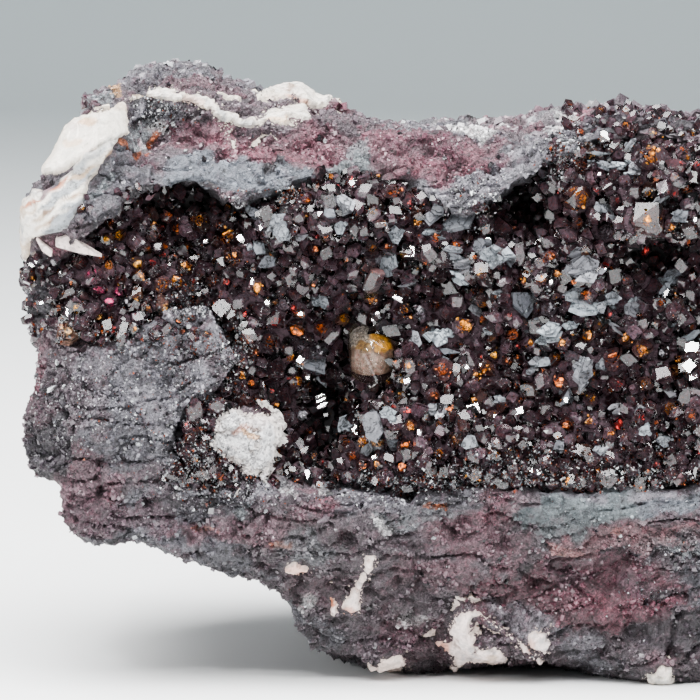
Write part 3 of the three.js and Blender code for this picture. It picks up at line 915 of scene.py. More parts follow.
LATH = (
    (23.1, 9.4), (24, 9.4), (23.7, 8.4), (23.2, 7.6), (22.9, 7.1), (22.8, 5.7), (22.1, 5.4), (21.6, 5.7),
    (21.6, 6.2), (22, 6.8), (22.4, 7.5), (22.9, 8.1),
)
PINK_CHIP = ((17.7, 8.7), (18.5, 9), (19.3, 8.7), (19.5, 8.3), (18.5, 8), (17.8, 8.3))
LATH_CHIP = ((20.7, 6.5), (21.2, 6.5), (21.3, 5.4), (20.7, 5.1))
BLADE = ((2.5, 30.5), (3.6, 30.8), (4.3, 30.1), (5.6, 29.3), (3.9, 29.6), (2.5, 30))
BLADE_CHIP = ((1.2, 30.5), (1.7, 30.1), (2.3, 29.7), (2.2, 29.3), (1.6, 29.7))
FOOT_RIM = ((28.4, 1.2), (29.6, 1.6), (30.8, 1.8), (31.2, 1.5), (30, 1.2), (28.8, 1))
CORNER_CHIP = ((44.4, 0.6), (45.1, 0.2), (45.6, -0.2), (45, -0.2), (44.5, 0.2))
VEINS = (
    Vein(
        "barite_slab", (SLAB_FACE, SLAB_FOOT),
        (((4.2, 8.6, 36.2), (3.6, 4.9, 3.2)), ((2.4, 6.6, 31.6), (2.2, 2.9, 3.5))),
        lift=0.25, relief=0.12, ragged=0.14, reach=13, wraps=True,
    ),
    Vein(
        "barite_seam", (SEAM,),
        (
            ((9.6, 11, 38.9), (2.6, 2.2, 1.7)),
            ((13.4, 11, 38.4), (2.9, 2.2, 1.6)),
            ((17.4, 11.6, 37.2), (2.9, 2, 1.4)),
        ),
        lift=0.12, relief=0.16, ragged=0.26, gaps=0.28, crumbs=0.45,
    ),
    Vein(
        "barite_crest", (CREST,),
        (((18.6, 19, 39.2), (2.6, 2.6, 1.9)),),
        relief=0.18, ragged=0.28, gaps=0.2, crumbs=0.4,
    ),
    Vein(
        "barite_nodule", (NODULE,),
        (((15.2, 4.4, 17.1), (2.4, 2.8, 2.2)), ((13.6, 4.6, 18.2), (1.6, 2, 1.5))),
        lift=0.45, relief=0.34, hue=Hue.CHALK, ragged=0.4, gaps=0.08, crumbs=1,
    ),
    Vein(
        "barite_foot", (FOOT_RING, FOOT_STAR, FOOT_LINE, FOOT_RIM),
        (),
        lift=0.1, relief=0.18, hue=Hue.BLUSH, ragged=0.3, gaps=0.16, crumbs=0.4,
    ),
    Vein(
        "barite_heel", (HEEL, LATH, LATH_CHIP, PINK_CHIP),
        (),
        lift=0.1, relief=0.16, hue=Hue.BLUSH, ragged=0.24, gaps=0.15, crumbs=0.3,
    ),
    Vein("barite_corner", (CORNER, CORNER_CHIP), (), relief=0.16, ragged=0.24, gaps=0.1, crumbs=0.3),
    Vein(
        "barite_back", (),
        (((40, 40.6, 20), (6.5, 2.6, 4.9)), ((46.5, 40, 17), (4.2, 2.6, 3.2))),
        lift=0.2, relief=0.16, ragged=0.5, crumbs=0.4,
    ),
)
STAINS = zones(
    (4.6, 38.3, 0.8, 0.25, Hue.APRICOT, 0.7, 8), (3.7, 37, 0.6, 0.4, Hue.APRICOT, 0.5),
    (6.9, 39.4, 0.5, 0.4, Hue.SAND, 0.6, 40), (6, 37, 1, 0.2, Hue.ASH, 0.5, 25),
    (4.9, 36, 1.4, 0.3, Hue.ASH, 0.7, 35), (2, 34.3, 0.9, 0.55, Hue.DARK_GREY, 0.98, 20),
    (2, 33.7, 0.8, 0.22, Hue.WINE, 0.9, 35), (2.8, 34.1, 0.9, 0.2, Hue.OCHRE, 0.8, 38),
    (4.3, 34.9, 1.3, 0.2, Hue.SAND, 0.9, 38), (0.9, 32.9, 0.7, 0.18, Hue.OCHRE, 0.8, 22),
    (2, 32.4, 0.5, 0.18, Hue.UMBER, 0.9, 38), (2.5, 31.9, 0.5, 0.16, Hue.UMBER, 0.9, 40),
    (2.9, 31.6, 1.4, 0.5, Hue.ASH, 0.95, 42), (3.8, 32.6, 0.9, 0.35, Hue.BLUE_GREY, 0.8, 45),
    (14.9, 17.9, 0.8, 0.35, Hue.OCHRE, 0.6, 20), (15.4, 17.4, 0.7, 0.2, Hue.APRICOT, 0.8, -30),
    (15.9, 17.9, 0.5, 0.2, Hue.UMBER, 0.7), (11.8, 39.8, 0.8, 0.4, Hue.SALMON, 0.4),
    (12.4, 39.3, 0.3, 0.4, Hue.SAND, 0.5), (13.6, 38.8, 0.5, 0.25, Hue.ASH, 0.7, -40),
    (15.3, 38.3, 0.7, 0.25, Hue.ASH, 0.6), (8, 40.1, 0.8, 0.15, Hue.SAND, 0.8),
    (17.3, 38.6, 0.8, 0.2, Hue.APRICOT, 0.6), (18.6, 39.9, 0.9, 0.25, Hue.SALMON, 0.7, -25),
    (18.1, 40.7, 0.35, 0.3, Hue.UMBER, 0.8), (28.3, 3.4, 0.5, 0.3, Hue.SALMON, 0.8),
    (31.6, 2.6, 0.5, 0.3, Hue.SAND, 0.7), (22, 5.7, 0.5, 0.3, Hue.SALMON, 0.7),
    (20.9, 6.3, 0.25, 0.3, Hue.OCHRE, 0.9), (18.5, 8.5, 0.9, 0.4, Hue.SALMON, 0.6),
    (34.2, 3.4, 0.25, 0.5, Hue.SALMON, 0.5),
)


def laid(tint: Rows, share: Rows, hue: Hue, shine: float = 0.0) -> None:
    """Lays a colour and its shine over painted ones, over each by its share."""
    tint += (np.array((*hue.rgb, shine)) - tint) * share[:, None]


def warped(points: Rows, size: float, reach: float) -> tuple[Rows, Rows]:
    """Where points are seen, pushed about so that edges wander.

    Args:
        points: one row for each.
        size: length of the waves, in metres.
        reach: how far they push, in mm.

    Returns:
        The places' mm from the left end, and their mm above the floor.
    """
    seen = SIGHT.places(points)
    push = np.array([noise.noise_vector(Vector(p) / size)[:2] for p in points])
    return seen[:, 0] + push[:, 0] * reach, seen[:, 1] + push[:, 1] * reach


@dataclass
class HostRock:
    """The block itself."""

    voxel: float = 0.72 * MM  # the mesh's cells on the hidden sides; the front's are a quarter of that
    mesh: Mesh = field(init=False)
    base: BMesh = field(init=False)
    tint: Rows = field(init=False)

    def is_face(self, point: Vector, facing: Vector, crust: BVHTree) -> bool:
        """Whether a point is on the front, where the finest mesh goes, and not behind the druse.

        Args:
            point: the point.
            facing: the way that the block faces there.
            crust: the druse's lining.

        Returns:
            Whether it is.
        """
        far = point.y > BLOCK_FRONT + FACE_DEEP * MM or point.x > BLOCK_LEFT + FACE_WIDE * MM
        if far or point.z < 0.3 * MM:
            return False
        return facing.dot(SIGHT.backwards) > 0.1 and crust.find_nearest(point, 0.7 * MM)[0] is None

    @staticmethod
    def nudged(bm: BMesh) -> None:
        """Moves the block's outline where it needs it.

        Args:
            bm: the block, whose corners are moved.
        """
        points = np.array([v.co[:] for v in bm.verts])
        seen = SIGHT.places(points)
        near = 1 - ramped((points[:, 1] - BLOCK_FRONT) / MM, 24, 32)
        push = np.zeros((len(points), 3))
        for nudge in NUDGES:
            share = nudge.zone.mask(seen[:, 0], seen[:, 1]) * near * MM
            push[:, 0] += share * nudge.across
            push[:, 2] += share * nudge.up
        for vert, move in zip(bm.verts, push):
            vert.co += Vector(move)

    def relief(self, p: Vector, calm: float, fine: bool) -> float:
        """How far the surface stands out at a point, in metres.

        Args:
            p: the point.
            calm: how smooth the rock is there, from 0 to 1.
            fine: whether the mesh is fine enough for the small forms.

        Returns:
            The height.
        """
        big = rough(p, 5 * MM, 2, 1) * 0.4 + chipped(p, 3.4 * MM, 2) * 0.34
        small = chipped(p, 1.5 * MM, 5) * 0.2
        if fine:
            small += chipped(p, 0.7 * MM, 7) * 0.13 + chipped(p, 0.42 * MM, 9) * 0.08
        pit = -0.8 * smooth(noise.noise(p / (1.5 * MM) + Vector((9, 0, 0))), 0.3, 0.6)
        crack = noise.noise(Vector((p.x * 0.6, p.y, p.z * 1.7)) / (2.2 * MM) + Vector((0, 4, 0)))
        ledge = -0.55 * (1 - smooth(abs(crack), 0, 0.12))
        return (big * (1 - calm * 0.4) + (small + pit + ledge) * (1 - calm * 0.8) - 0.25) * MM

    def painted(self, points: Rows) -> Rows:
        """The block's colours at points, with its smoothness in the fourth number.

        Args:
            points: one row for each.

        Returns:
            One row of four numbers for each.
        """
        across, up = warped(points, 2.2 * MM, 1.3)
        ripple = roughness(points, 0.6, 3, 3)
        broad = roughness(points, 8, 3, 5)
        veins = np.array([noise.noise(Vector(p) / (6 * MM) + Vector((0, 2, 5))) for p in points])
        depth = (points[:, 1] - BLOCK_FRONT) / MM
        left = (points[:, 0] - BLOCK_LEFT) / MM
        front = (1 - ramped(depth, 14, 20)) * (1 - ramped(left, 47, 52))
        tint = np.zeros((len(points), 4))
        tint[:, :3] = Hue.PLUM_GREY.rgb
        laid(tint, ramped(broad + ripple * 0.25, 0.1, 0.3), Hue.MID_GREY, 0.25)
        laid(tint, ramped(-broad + ripple * 0.25, 0.2, 0.4) * 0.8, Hue.RUST_PLUM)
        laid(tint, ramped(-broad + ripple * 0.3, 0.5, 0.7) * 0.8, Hue.ROSE)
        laid(tint, ramped(broad + ripple * 0.3, 0.5, 0.7), Hue.PALE_GREY, 0.5)
        threads = ramped(0.04 - np.abs(veins) + ripple * 0.03, 0, 0.02)
        laid(tint, (1 - front) * threads * ramped(broad, -0.3, 0.2), Hue.CHALK)
        for zone in ROCK_ZONES:
            share = np.clip((zone.mask(across, up) - 0.38 + ripple * 0.34) * 6, 0, 1)
            laid(tint, share * zone.share * front, zone.hue, zone.shine)
        patch = np.array([noise.noise(Vector(p) / (1.3 * MM) + Vector((3, 7, 1))) for p in points])
        sugary = np.max([zone.mask(across, up) * zone.share for zone in GRAINY_ZONES], axis=0) * front
        sugary = ramped(sugary, 0.2, 0.45)
        laid(tint, sugary * ramped(ripple * 0.2 - patch, -0.12, 0.05) * 0.65, Hue.DARK_GREY)
        laid(tint, sugary * ramped(ripple * 0.2 + patch, 0.12, 0.2), Hue.PALE_GREY, 0.75)
        return tint

    def build(self) -> Object:
        """Makes the block's piece."""
        crust = tree_of(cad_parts["quartz_crust"].data)
        nodes = [vein.node for vein in VEINS]
        mesh = remeshed(self.voxel, 0.35 * MM, "host_rock", *nodes)
        barite = tree_of(*(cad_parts[node].data for node in nodes))
        bm = opened(mesh)
        softened(bm, 2)
        self.nudged(bm)
        bm.normal_update()
        bm.edges.index_update()
        bm.edges.ensure_lookup_table()
        shown, veined = set(), set()
        for face in bm.faces:
            middle = face.calc_center_median()
            if self.is_face(middle, face.normal, crust):
                shown.update(edge.index for edge in face.edges)
            elif barite.find_nearest(middle, 1.0 * MM)[0] is not None:
                veined.update(edge.index for edge in face.edges)
        parts = [[bm.edges[i] for i in sorted(part)] for part in (veined - shown, shown)]
        for edges, cuts in zip(parts, (1, 3)):
            bmesh.ops.subdivide_edges(bm, edges=edges, cuts=cuts, use_grid_fill=True, smooth=0.4)
        bmesh.ops.triangulate(bm, faces=[f for f in bm.faces if len(f.verts) > 4])
        bm.normal_update()
        bm.verts.index_update()
        self.base = bm
        points = np.array([v.co[:] for v in bm.verts])
        facing = np.array([v.normal[:] for v in bm.verts])
        self.tint = self.painted(points)
        # Painted shade and light: faces that look down are painted up to 42 % darker and faces that look up
        # up to 25 % lighter, as the top light would shade them; the grains take this colour too.
        shaded = 0.42 * ramped(-facing[:, 2], -0.1, 0.7)
        self.tint[:, :3] *= (1 - shaded + 0.25 * ramped(facing[:, 2], 0.1, 0.7))[:, None]
        deep = np.max([vein.inside(points, facing) for vein in VEINS], axis=0)
        calm = np.maximum(self.tint[:, 3], 0)
        left = (points[:, 0] - BLOCK_LEFT) / MM
        fine = (left < FACE_WIDE) & (points[:, 1] < BLOCK_FRONT + FACE_DEEP * MM)
        height = np.array([self.relief(Vector(p), c, f) for p, c, f in zip(points, calm, fine)])
        height *= ramped(-deep, -0.1, 0.4) * ramped(points[:, 2], 0, 0.6 * MM)
        height -= ramped(deep, -0.3, 0.2) * 0.2 * MM
        mesh = bpy.data.meshes.new("block_of_rock")
        bm.to_mesh(mesh)
        mesh.vertices.foreach_set("co", (points + facing * height[:, None]).ravel())
        coloured(mesh, "tint", self.tint)
        self.mesh = mesh
        return piece_of("block_of_rock", mesh, RockFinish().build(), "rock", "host_rock")


# ---- the barite ----


@dataclass(frozen=True)
class BariteFinish:
    """Creamy barite with a faint lustre, its stains painted on the mesh."""

    def build(self) -> Material:
        """Makes the material."""
        desk = Desk("barite")
        tint = desk.attribute("tint")
        fine = desk.noise(0.12 * MM, 3, 0.7)
        mid = desk.noise(0.6 * MM, 4, 0.6)
        light = desk.times(desk.ramp(fine, 0.3, 0.7, 0.86, 1.06), desk.ramp(mid, 0.3, 0.65, 0.8, 1.06))
        pit = desk.ramp(desk.crumbs(0.2 * MM), 0.1, 0.5, 0.35, 1)
        shade = desk.shaded(tint.outputs["Color"], desk.grey(light))
        rugged = desk.shaded(shade, desk.grey(pit))
        crumbs = desk.bump(desk.times(pit, tint.outputs["Alpha"]), 0.14 * MM, desk.bump(mid, 0.12 * MM))
        desk.set(
            Base_Color=desk.mix(tint.outputs["Alpha"], shade, rugged),
            Roughness=desk.ramp(mid, 0.3, 0.7, 0.34, 0.6),
            Normal=desk.bump(fine, 0.05 * MM, crumbs),
        )
        return desk.material


@dataclass
class Barite:
    """The barite that fills seams and patches of the block."""

    rock: HostRock
    thick: float = 0.5 * MM
    coarse: float = 0.3 * MM

    def painted(self, vein: Vein, points: Rows, facing: Rows) -> Rows:
        """The colours of a body of barite at points.

        Args:
            vein: the body.
            points: one row for each.
            facing: the way that the surface faces at each.

        Returns:
            One row of four numbers for each, the last for how crumbly it is.
        """
        deep = vein.inside(points, facing)
        across, up = warped(points, 0.9 * MM, 0.35)
        mottle = roughness(points, 1.6, 3, 6)
        tint = np.zeros((len(points), 4))
        tint[:, :3] = vein.hue.rgb
        laid(tint, ramped(mottle, 0.1, 0.6) * 0.5, Hue.BLUSH)
        laid(tint, ramped(-mottle, 0.2, 0.7) * 0.35, Hue.CHALK)
        if vein.gaps:
            ash = roughness(points, 0.7, 3, 11)
            laid(tint, ramped(ash, 0.15, 0.6) * 0.6, Hue.ASH)
        if vein.node == "barite_slab":
            turn = math.radians(36)
            aside = (up * math.cos(turn) - across * math.sin(turn)) * 1.9
            along = (across * math.cos(turn) + up * math.sin(turn)) * 0.45
            grain = np.array([noise.noise(Vector((a, b, 0.3))) for a, b in zip(aside, along)])
            foot = 1 - ramped(up - across * 0.52 + mottle * 0.3, 33, 33.9)
            laid(tint, ramped(grain, 0, 0.25) * foot * 0.9, Hue.ASH)
            laid(tint, ramped(-grain, 0.2, 0.34) * foot * 0.75, Hue.SAND)
            laid(tint, ramped(-grain, 0.4, 0.5) * foot * 0.8, Hue.UMBER)
        rim = 1 - ramped(deep, 0, 0.35)
        laid(tint, rim * 0.35, Hue.SAND)
        for stain in STAINS:
            share = np.clip((stain.mask(across, up) - 0.3) * 3, 0, 1)
            laid(tint, share * stain.share, stain.hue)
        tint[:, 3] = vein.crumbs
        if vein.node == "barite_slab":
            tint[:, 3] += foot * ramped(grain + mottle * 0.5, -0.3, 0.2) * 0.7
        return tint

    def body(self, vein: Vein) -> Mesh:
        """Makes the mesh of one body.

        Args:
            vein: the body.

        Returns:
            The mesh.
        """
        bm = self.rock.base.copy()
        for finest in (False, True):
            bm.verts.index_update()
            bm.verts.ensure_lookup_table()
            points = np.array([v.co[:] for v in bm.verts])
            facing = np.array([v.normal[:] for v in bm.verts])
            deep = vein.inside(points, facing)
            if not finest:
                near = [e for e in bm.edges if max(deep[v.index] for v in e.verts) > -0.6]
                coarse = [e for e in near if e.calc_length() > self.coarse]
                bmesh.ops.subdivide_edges(bm, edges=coarse, cuts=2, use_grid_fill=True)
                bmesh.ops.triangulate(bm, faces=[f for f in bm.faces if len(f.verts) > 4])
                bm.normal_update()
        rise = ramped(deep, -0.3, 0.3)
        for i in np.flatnonzero(deep > -0.9):
            p = Vector(points[i])
            face = rough(p, 1.4 * MM, 3, 2) * 0.6 + chipped(p, 0.8 * MM, 3) * 0.5
            height = (vein.lift + vein.relief * face) * rise[i] - 0.9 * (1 - rise[i])
            bm.verts[i].co = p + bm.verts[i].normal * height * MM
        away = [f for f in bm.faces if max(deep[v.index] for v in f.verts) < -0.35]
        bmesh.ops.delete(bm, geom=away, context="FACES")
        bm.normal_update()
        under = {v: v.co - v.normal * self.thick for v in bm.verts}
        bmesh.ops.extrude_face_region(bm, geom=bm.faces[:], use_keep_orig=True)
        for vert, place in under.items():
            vert.co = place
        bmesh.ops.recalc_face_normals(bm, faces=bm.faces[:])
        bm.normal_update()
        facing = np.array([v.normal[:] for v in bm.verts])
        mesh = closed(bm, vein.node)
        coloured(mesh, "tint", self.painted(vein, corners_of(mesh), facing))
        return mesh

    def build(self) -> list[Object]:
        """Makes every body of barite."""
        finish = BariteFinish().build()
        return [piece_of(vein.node, self.body(vein), finish, "barite", vein.node) for vein in VEINS]


@dataclass
class Crumbs:
    """Crumbs of barite over its bodies, which break up their faces and edges."""

    barite: Barite
    density: float = 55.0  # how many there are to a square millimetre
    seed: int = 6

    def strewn(self, vein: Vein, outline: Outline, tree: BVHTree, dice: random.Random, heap: Heap) -> None:
        """Strews crumbs over one outline.

        Args:
            vein: the body.
            outline: the outline.
            tree: the surfaces that they lie on.
            dice: random numbers.
            heap: takes them.
        """
        piled = vein.crumbs >= 1.0
        low, high = np.array(outline).min(0) - 0.3, np.array(outline).max(0) + 0.3
        count = int(np.prod(high - low) * self.density * (7 if piled else 1))
        spots = low + np.random.default_rng(self.seed).random((count, 2)) * (high - low)
        deep = within(outline, spots[:, 0], spots[:, 1])
        spots, deep = spots[deep > -0.25], deep[deep > -0.25]
        dome = ramped(deep, -0.2, 1) * (0.9 if piled else 0.1)
        points, sizes = [], []
        for (x, z), edge, rise in zip(spots, deep, dome):
            seen = SIGHT.look(tree, x, z)
            if seen is None or dice.random() > 0.35 + edge * 2:
                continue
            points.append(seen[0] + SIGHT.backwards * rise * dice.uniform(0.3, 1) * MM)
            sizes.append((0.08 + (0.3 if piled else 0.16) * dice.random() ** 2) * MM)
        if not points:
            return
        tints = self.barite.painted(vein, np.array(points), np.tile(SIGHT.backwards, (len(points), 1)))
        moulds = [chip(dice) for _ in range(6)]
        for point, size, tint in zip(points, sizes, tints):
            axis = (SIGHT.backwards + shaken(dice, 0.9)).normalized()
            scale = (size, size * dice.uniform(0.6, 1), size * dice.uniform(0.5, 1))
            place = stood(point, axis, dice.uniform(0, 6), scale)
            heap.put(dice.choice(moulds), place, dimmed(tint, dice.choice((1.0, 1.0, 0.85, 0.45))))

    def build(self, tree: BVHTree, finish: Material) -> Object:
        """Makes the crumbs' piece."""
        dice, heap = random.Random(self.seed), Heap()
        for vein in VEINS:
            for outline in vein.outlines:
                if vein.crumbs > 0.1:
                    self.strewn(vein, outline, tree, dice, heap)
        return piece_of("barite_crumbs", heap.mesh("barite_crumbs"), finish, "barite")




# ---- the druse ----


class Glow(Enum):
    """What a quartz crystal holds: its heart's colour, its flecks' colour and how many flecks there are."""

    NONE = ("4a3840", "4a3840", 0)
    ORANGE = ("4a3028", "dc8200", 5)
    EMBER = ("462c2a", "cc5f00", 4)
    AMBER = ("5a3a1a", "cc8600", 5)
    RED = ("44282e", "c42a24", 4)
    WINE = ("4a2438", "aa2458", 4)
    GREY = ("68656c", "7d7a80", 2)
    TAN = ("7d5836", "b98a58", 3)
    CLEAR = ("d9d6d2", "efedea", 3)

    @property
    def heart(self) -> Colour:
        """The heart's colour, linear."""
        return colour(self.value[0])

    @property
    def fleck(self) -> Colour:
        """The flecks' colour, linear."""
        return colour(self.value[1])

    @property
    def flecks(self) -> int:
        """How many flecks there are."""
        return self.value[2]


GEMS: dict[Glow, tuple[Triple, ...]] = {
    Glow.AMBER: (
        (2.8, 28.8, 0.93), (6.7, 30.8, 0.6), (5.9, 30.5, 0.6), (7.9, 28.9, 0.73), (1.8, 27.5, 0.73),
        (9.7, 26.1, 0.73), (4.7, 33.1, 0.47), (4.2, 32.2, 0.47), (21.6, 25.3, 0.67), (30.9, 28.5, 0.67),
        (31.7, 22.7, 0.53), (38, 37.1, 1), (39.3, 37.4, 0.8), (37.5, 38.8, 0.6), (38.8, 38.7, 0.6),
        (40.8, 38.5, 0.6),
    ),
    Glow.EMBER: (
        (9.9, 30, 0.47), (11.3, 29.9, 0.47), (10.6, 31.3, 0.8), (18.5, 24.6, 0.87), (16.7, 23.7, 0.87),
        (19.3, 33.1, 0.6), (19.8, 29.8, 0.6), (20.3, 24.6, 0.8), (28.3, 21.7, 0.93), (33, 24.3, 0.73),
        (26, 16.7, 0.8), (23, 15.4, 0.6), (25.6, 15.3, 0.6), (27.6, 20.1, 0.53), (19.5, 17.5, 0.6),
        (22.3, 16.1, 0.6), (27.8, 30.5, 0.6), (29.2, 30, 0.67), (35.5, 29.3, 0.6), (27.9, 26.1, 0.6),
        (36.2, 21, 0.73), (38, 26.8, 0.73), (39.6, 22.5, 1), (36.5, 18.1, 0.67), (44.9, 18.8, 0.6),
        (33.1, 24.3, 0.6), (43.6, 38.4, 0.87), (15.8, 19.8, 0.73), (14.3, 19.7, 0.67), (12.5, 19.7, 0.93),
        (15.6, 23, 0.53), (18.7, 25.7, 0.53),
    ),
    Glow.ORANGE: (
        (11.1, 28.7, 0.73), (14.4, 30.7, 1), (14.4, 29.4, 0.8), (16, 27.3, 0.87), (12.2, 31.6, 0.8),
        (9.6, 27.4, 0.73), (10.6, 27.6, 0.67), (6.8, 27.7, 0.53), (29.7, 24.7, 0.93), (23.5, 26.6, 0.67),
        (25.7, 25.7, 0.8), (31.2, 21.8, 0.73), (30.4, 21.5, 0.67), (29.2, 17.1, 0.73), (28.2, 16.2, 0.67),
        (23.1, 17.1, 0.6), (26.2, 18.1, 0.53), (24, 15.4, 0.53), (31.7, 18.7, 0.6), (34.9, 27.9, 0.6),
        (34.1, 28.3, 0.47), (26.7, 31.6, 0.6), (35.9, 22.5, 0.67), (36.3, 23.7, 0.67), (38, 24.1, 0.6),
        (40.5, 24.1, 0.73), (41.6, 23.3, 0.8), (41.9, 20.9, 0.67), (38.1, 18.3, 0.67), (39.5, 17.5, 0.6),
        (43.5, 19.1, 0.8), (42.5, 35.7, 1.27), (41.9, 31.9, 1.33), (37.4, 33.4, 1.07), (44.5, 36.7, 0.73),
        (14.8, 21.5, 0.53),
    ),
    Glow.TAN: ((9.1, 25, 1.13), (8.3, 23.9, 0.87), (3.4, 24.3, 0.93), (24, 17.1, 0.6)),
    Glow.CLEAR: ((2.6, 25.3, 0.93),),
    Glow.RED: (
        (17.1, 25.2, 0.73), (18.5, 26.1, 0.53), (40, 18.2, 0.73), (39.9, 33.1, 0.6), (41.8, 29.7, 0.6),
    ),
    Glow.WINE: ((4.9, 28, 0.8), (6, 26.3, 0.8), (5.3, 27.1, 0.73), (6.7, 27, 0.6)),
    Glow.GREY: (
        (26.7, 25.6, 0.87), (35.5, 25.9, 0.73), (42.9, 22.9, 0.67), (39.2, 31.1, 0.73), (18.8, 18.8, 0.73),
        (18.8, 23.5, 0.73), (20, 23.1, 0.8), (20.3, 22.1, 0.73),
    ),
    Glow.NONE: (
        (32.1, 31.2, 0.87), (41.7, 25.9, 0.87), (42.3, 27.3, 0.73), (35.9, 32.9, 0.67), (21.1, 23.5, 0.73),
        (20.6, 21.7, 0.87), (22.1, 21.7, 0.6), (16.8, 21.7, 1.07), (17.8, 20.1, 0.8), (21.5, 26.5, 0.67),
        (22.3, 24.5, 0.6),
    ),
}  # each crystal's place on the front and its size, in mm
PLATES = (
    (25.1, 31, 1.1, 1.3, 20), (27.5, 32.1, 1.5, 1.3, 0), (27.7, 31, 1.5, 0.3, -3), (29.1, 31.5, 2.3, 2, 20),
    (30.8, 30.1, 1.5, 1.7, 30), (31.9, 29.1, 1.3, 1.6, 80), (32.8, 29.2, 0.5, 1.2, 15),
    (28.7, 29.4, 2.9, 0.8, -8), (28.9, 28.8, 2.5, 0.6, -12), (29.7, 27.9, 1.7, 0.8, -15),
    (32.1, 27, 1.3, 0.4, 25), (33.5, 26.1, 2.3, 1.5, -20), (34.1, 24.9, 1.1, 0.5, -8),
    (35.5, 24.5, 1.6, 1.5, 10), (30.5, 25.8, 1.1, 0.8, 30), (28.2, 24.1, 2, 1.6, 15),
    (28.6, 23.1, 1.7, 0.5, -10), (26.5, 23.8, 0.6, 1.3, 20), (31.2, 24.5, 0.8, 0.5, 0),
    (34.4, 22.3, 1.3, 0.7, 15), (24.6, 28.7, 1.5, 1.6, 40), (25.8, 27.5, 1.3, 0.3, 12),
    (37.6, 28.7, 2, 1.2, -5), (38.1, 28.1, 1.6, 0.8, 25), (37.1, 27.1, 0.5, 1.5, -75),
    (38, 25.9, 2.4, 1, 5), (38.8, 26.1, 1.2, 0.9, 30), (39.7, 26.5, 1.3, 0.9, -30),
    (40.8, 25.9, 1.5, 1.1, -35), (41.2, 26.5, 0.9, 0.5, 0), (39.6, 24.9, 1.5, 0.3, -20),
    (33.6, 26.1, 1.2, 1.1, 60), (43.3, 28, 1.7, 0.9, 25), (43.1, 26.8, 0.5, 1.6, -15),
    (44.9, 24.2, 1.5, 0.5, 35), (34.9, 22.2, 1.7, 0.7, 10), (37.4, 21.5, 1.2, 2.3, -30),
    (37.9, 22.4, 0.9, 0.9, 30), (38.9, 22.1, 0.8, 1.2, 0), (40, 19, 1.3, 0.6, 10),
    (43.5, 20.3, 0.8, 0.5, -15), (36.5, 20, 0.5, 1.2, -20), (42.1, 37.8, 1, 0.6, -25),
    (43.1, 38.8, 1.3, 0.8, -30), (40.8, 37.4, 0.9, 0.5, -35), (40.7, 36.7, 0.6, 0.9, -20),
    (43.7, 36.7, 0.4, 1.1, 10), (39.3, 35.4, 2.7, 0.5, -15), (40.1, 35.5, 1.7, 0.5, -20),
    (41.1, 35.1, 0.8, 0.7, 20), (38.9, 32.7, 1.2, 0.7, -25), (39.9, 32.1, 1.5, 0.8, 5),
    (43.1, 33.4, 0.6, 1.6, -50), (44.2, 32.1, 1.3, 0.8, 35), (45.3, 37.6, 0.8, 0.8, 0),
    (31.5, 29.5, 1.5, 1.2, 25), (37.3, 28.7, 1.3, 1.3, 40), (43.4, 28.1, 1.5, 0.7, 20),
    (39.5, 26.7, 1.2, 0.8, -15), (21.8, 18.1, 2, 1.2, 35), (23.8, 18.1, 1.5, 2, 20),
    (24.9, 17.1, 0.9, 1.7, 40), (24.5, 18.8, 1.1, 0.9, 0), (27.6, 19.3, 1.1, 0.7, 35),
    (28.1, 18.8, 0.7, 1.2, -20), (30.1, 16.8, 1.3, 0.9, 35), (23.8, 17.1, 1.3, 1.6, -35),
    (15.8, 32.1, 0.8, 1.1, 50), (17.2, 31.7, 1.5, 0.8, 20), (17.7, 31, 1.2, 0.9, 45),
    (16, 29.8, 0.9, 1.5, 30), (16.7, 29, 1.3, 1.1, 30), (21.8, 32.8, 1.2, 1.5, 60),
    (20.8, 32.1, 0.9, 0.7, 30), (22.1, 35.1, 0.9, 1.2, 30), (18.8, 30.7, 0.9, 0.5, 10),
    (21.5, 31.3, 0.9, 0.8, 30), (20.1, 26.5, 0.8, 1.1, 50), (19.9, 22.3, 1.5, 1.5, 35),
    (20.3, 21.3, 0.7, 1.1, 20), (32.1, 19.8, 0.9, 0.5, 20), (41.5, 19.1, 0.8, 0.5, 20),
    (38.8, 16.5, 1.1, 0.6, 10), (41.8, 17.8, 0.9, 0.6, 15), (36.1, 16.8, 0.8, 0.6, 40),
    (42.8, 17.1, 1.1, 0.7, 5),
)  # each plate's place, width and height in mm, and its turn in degrees
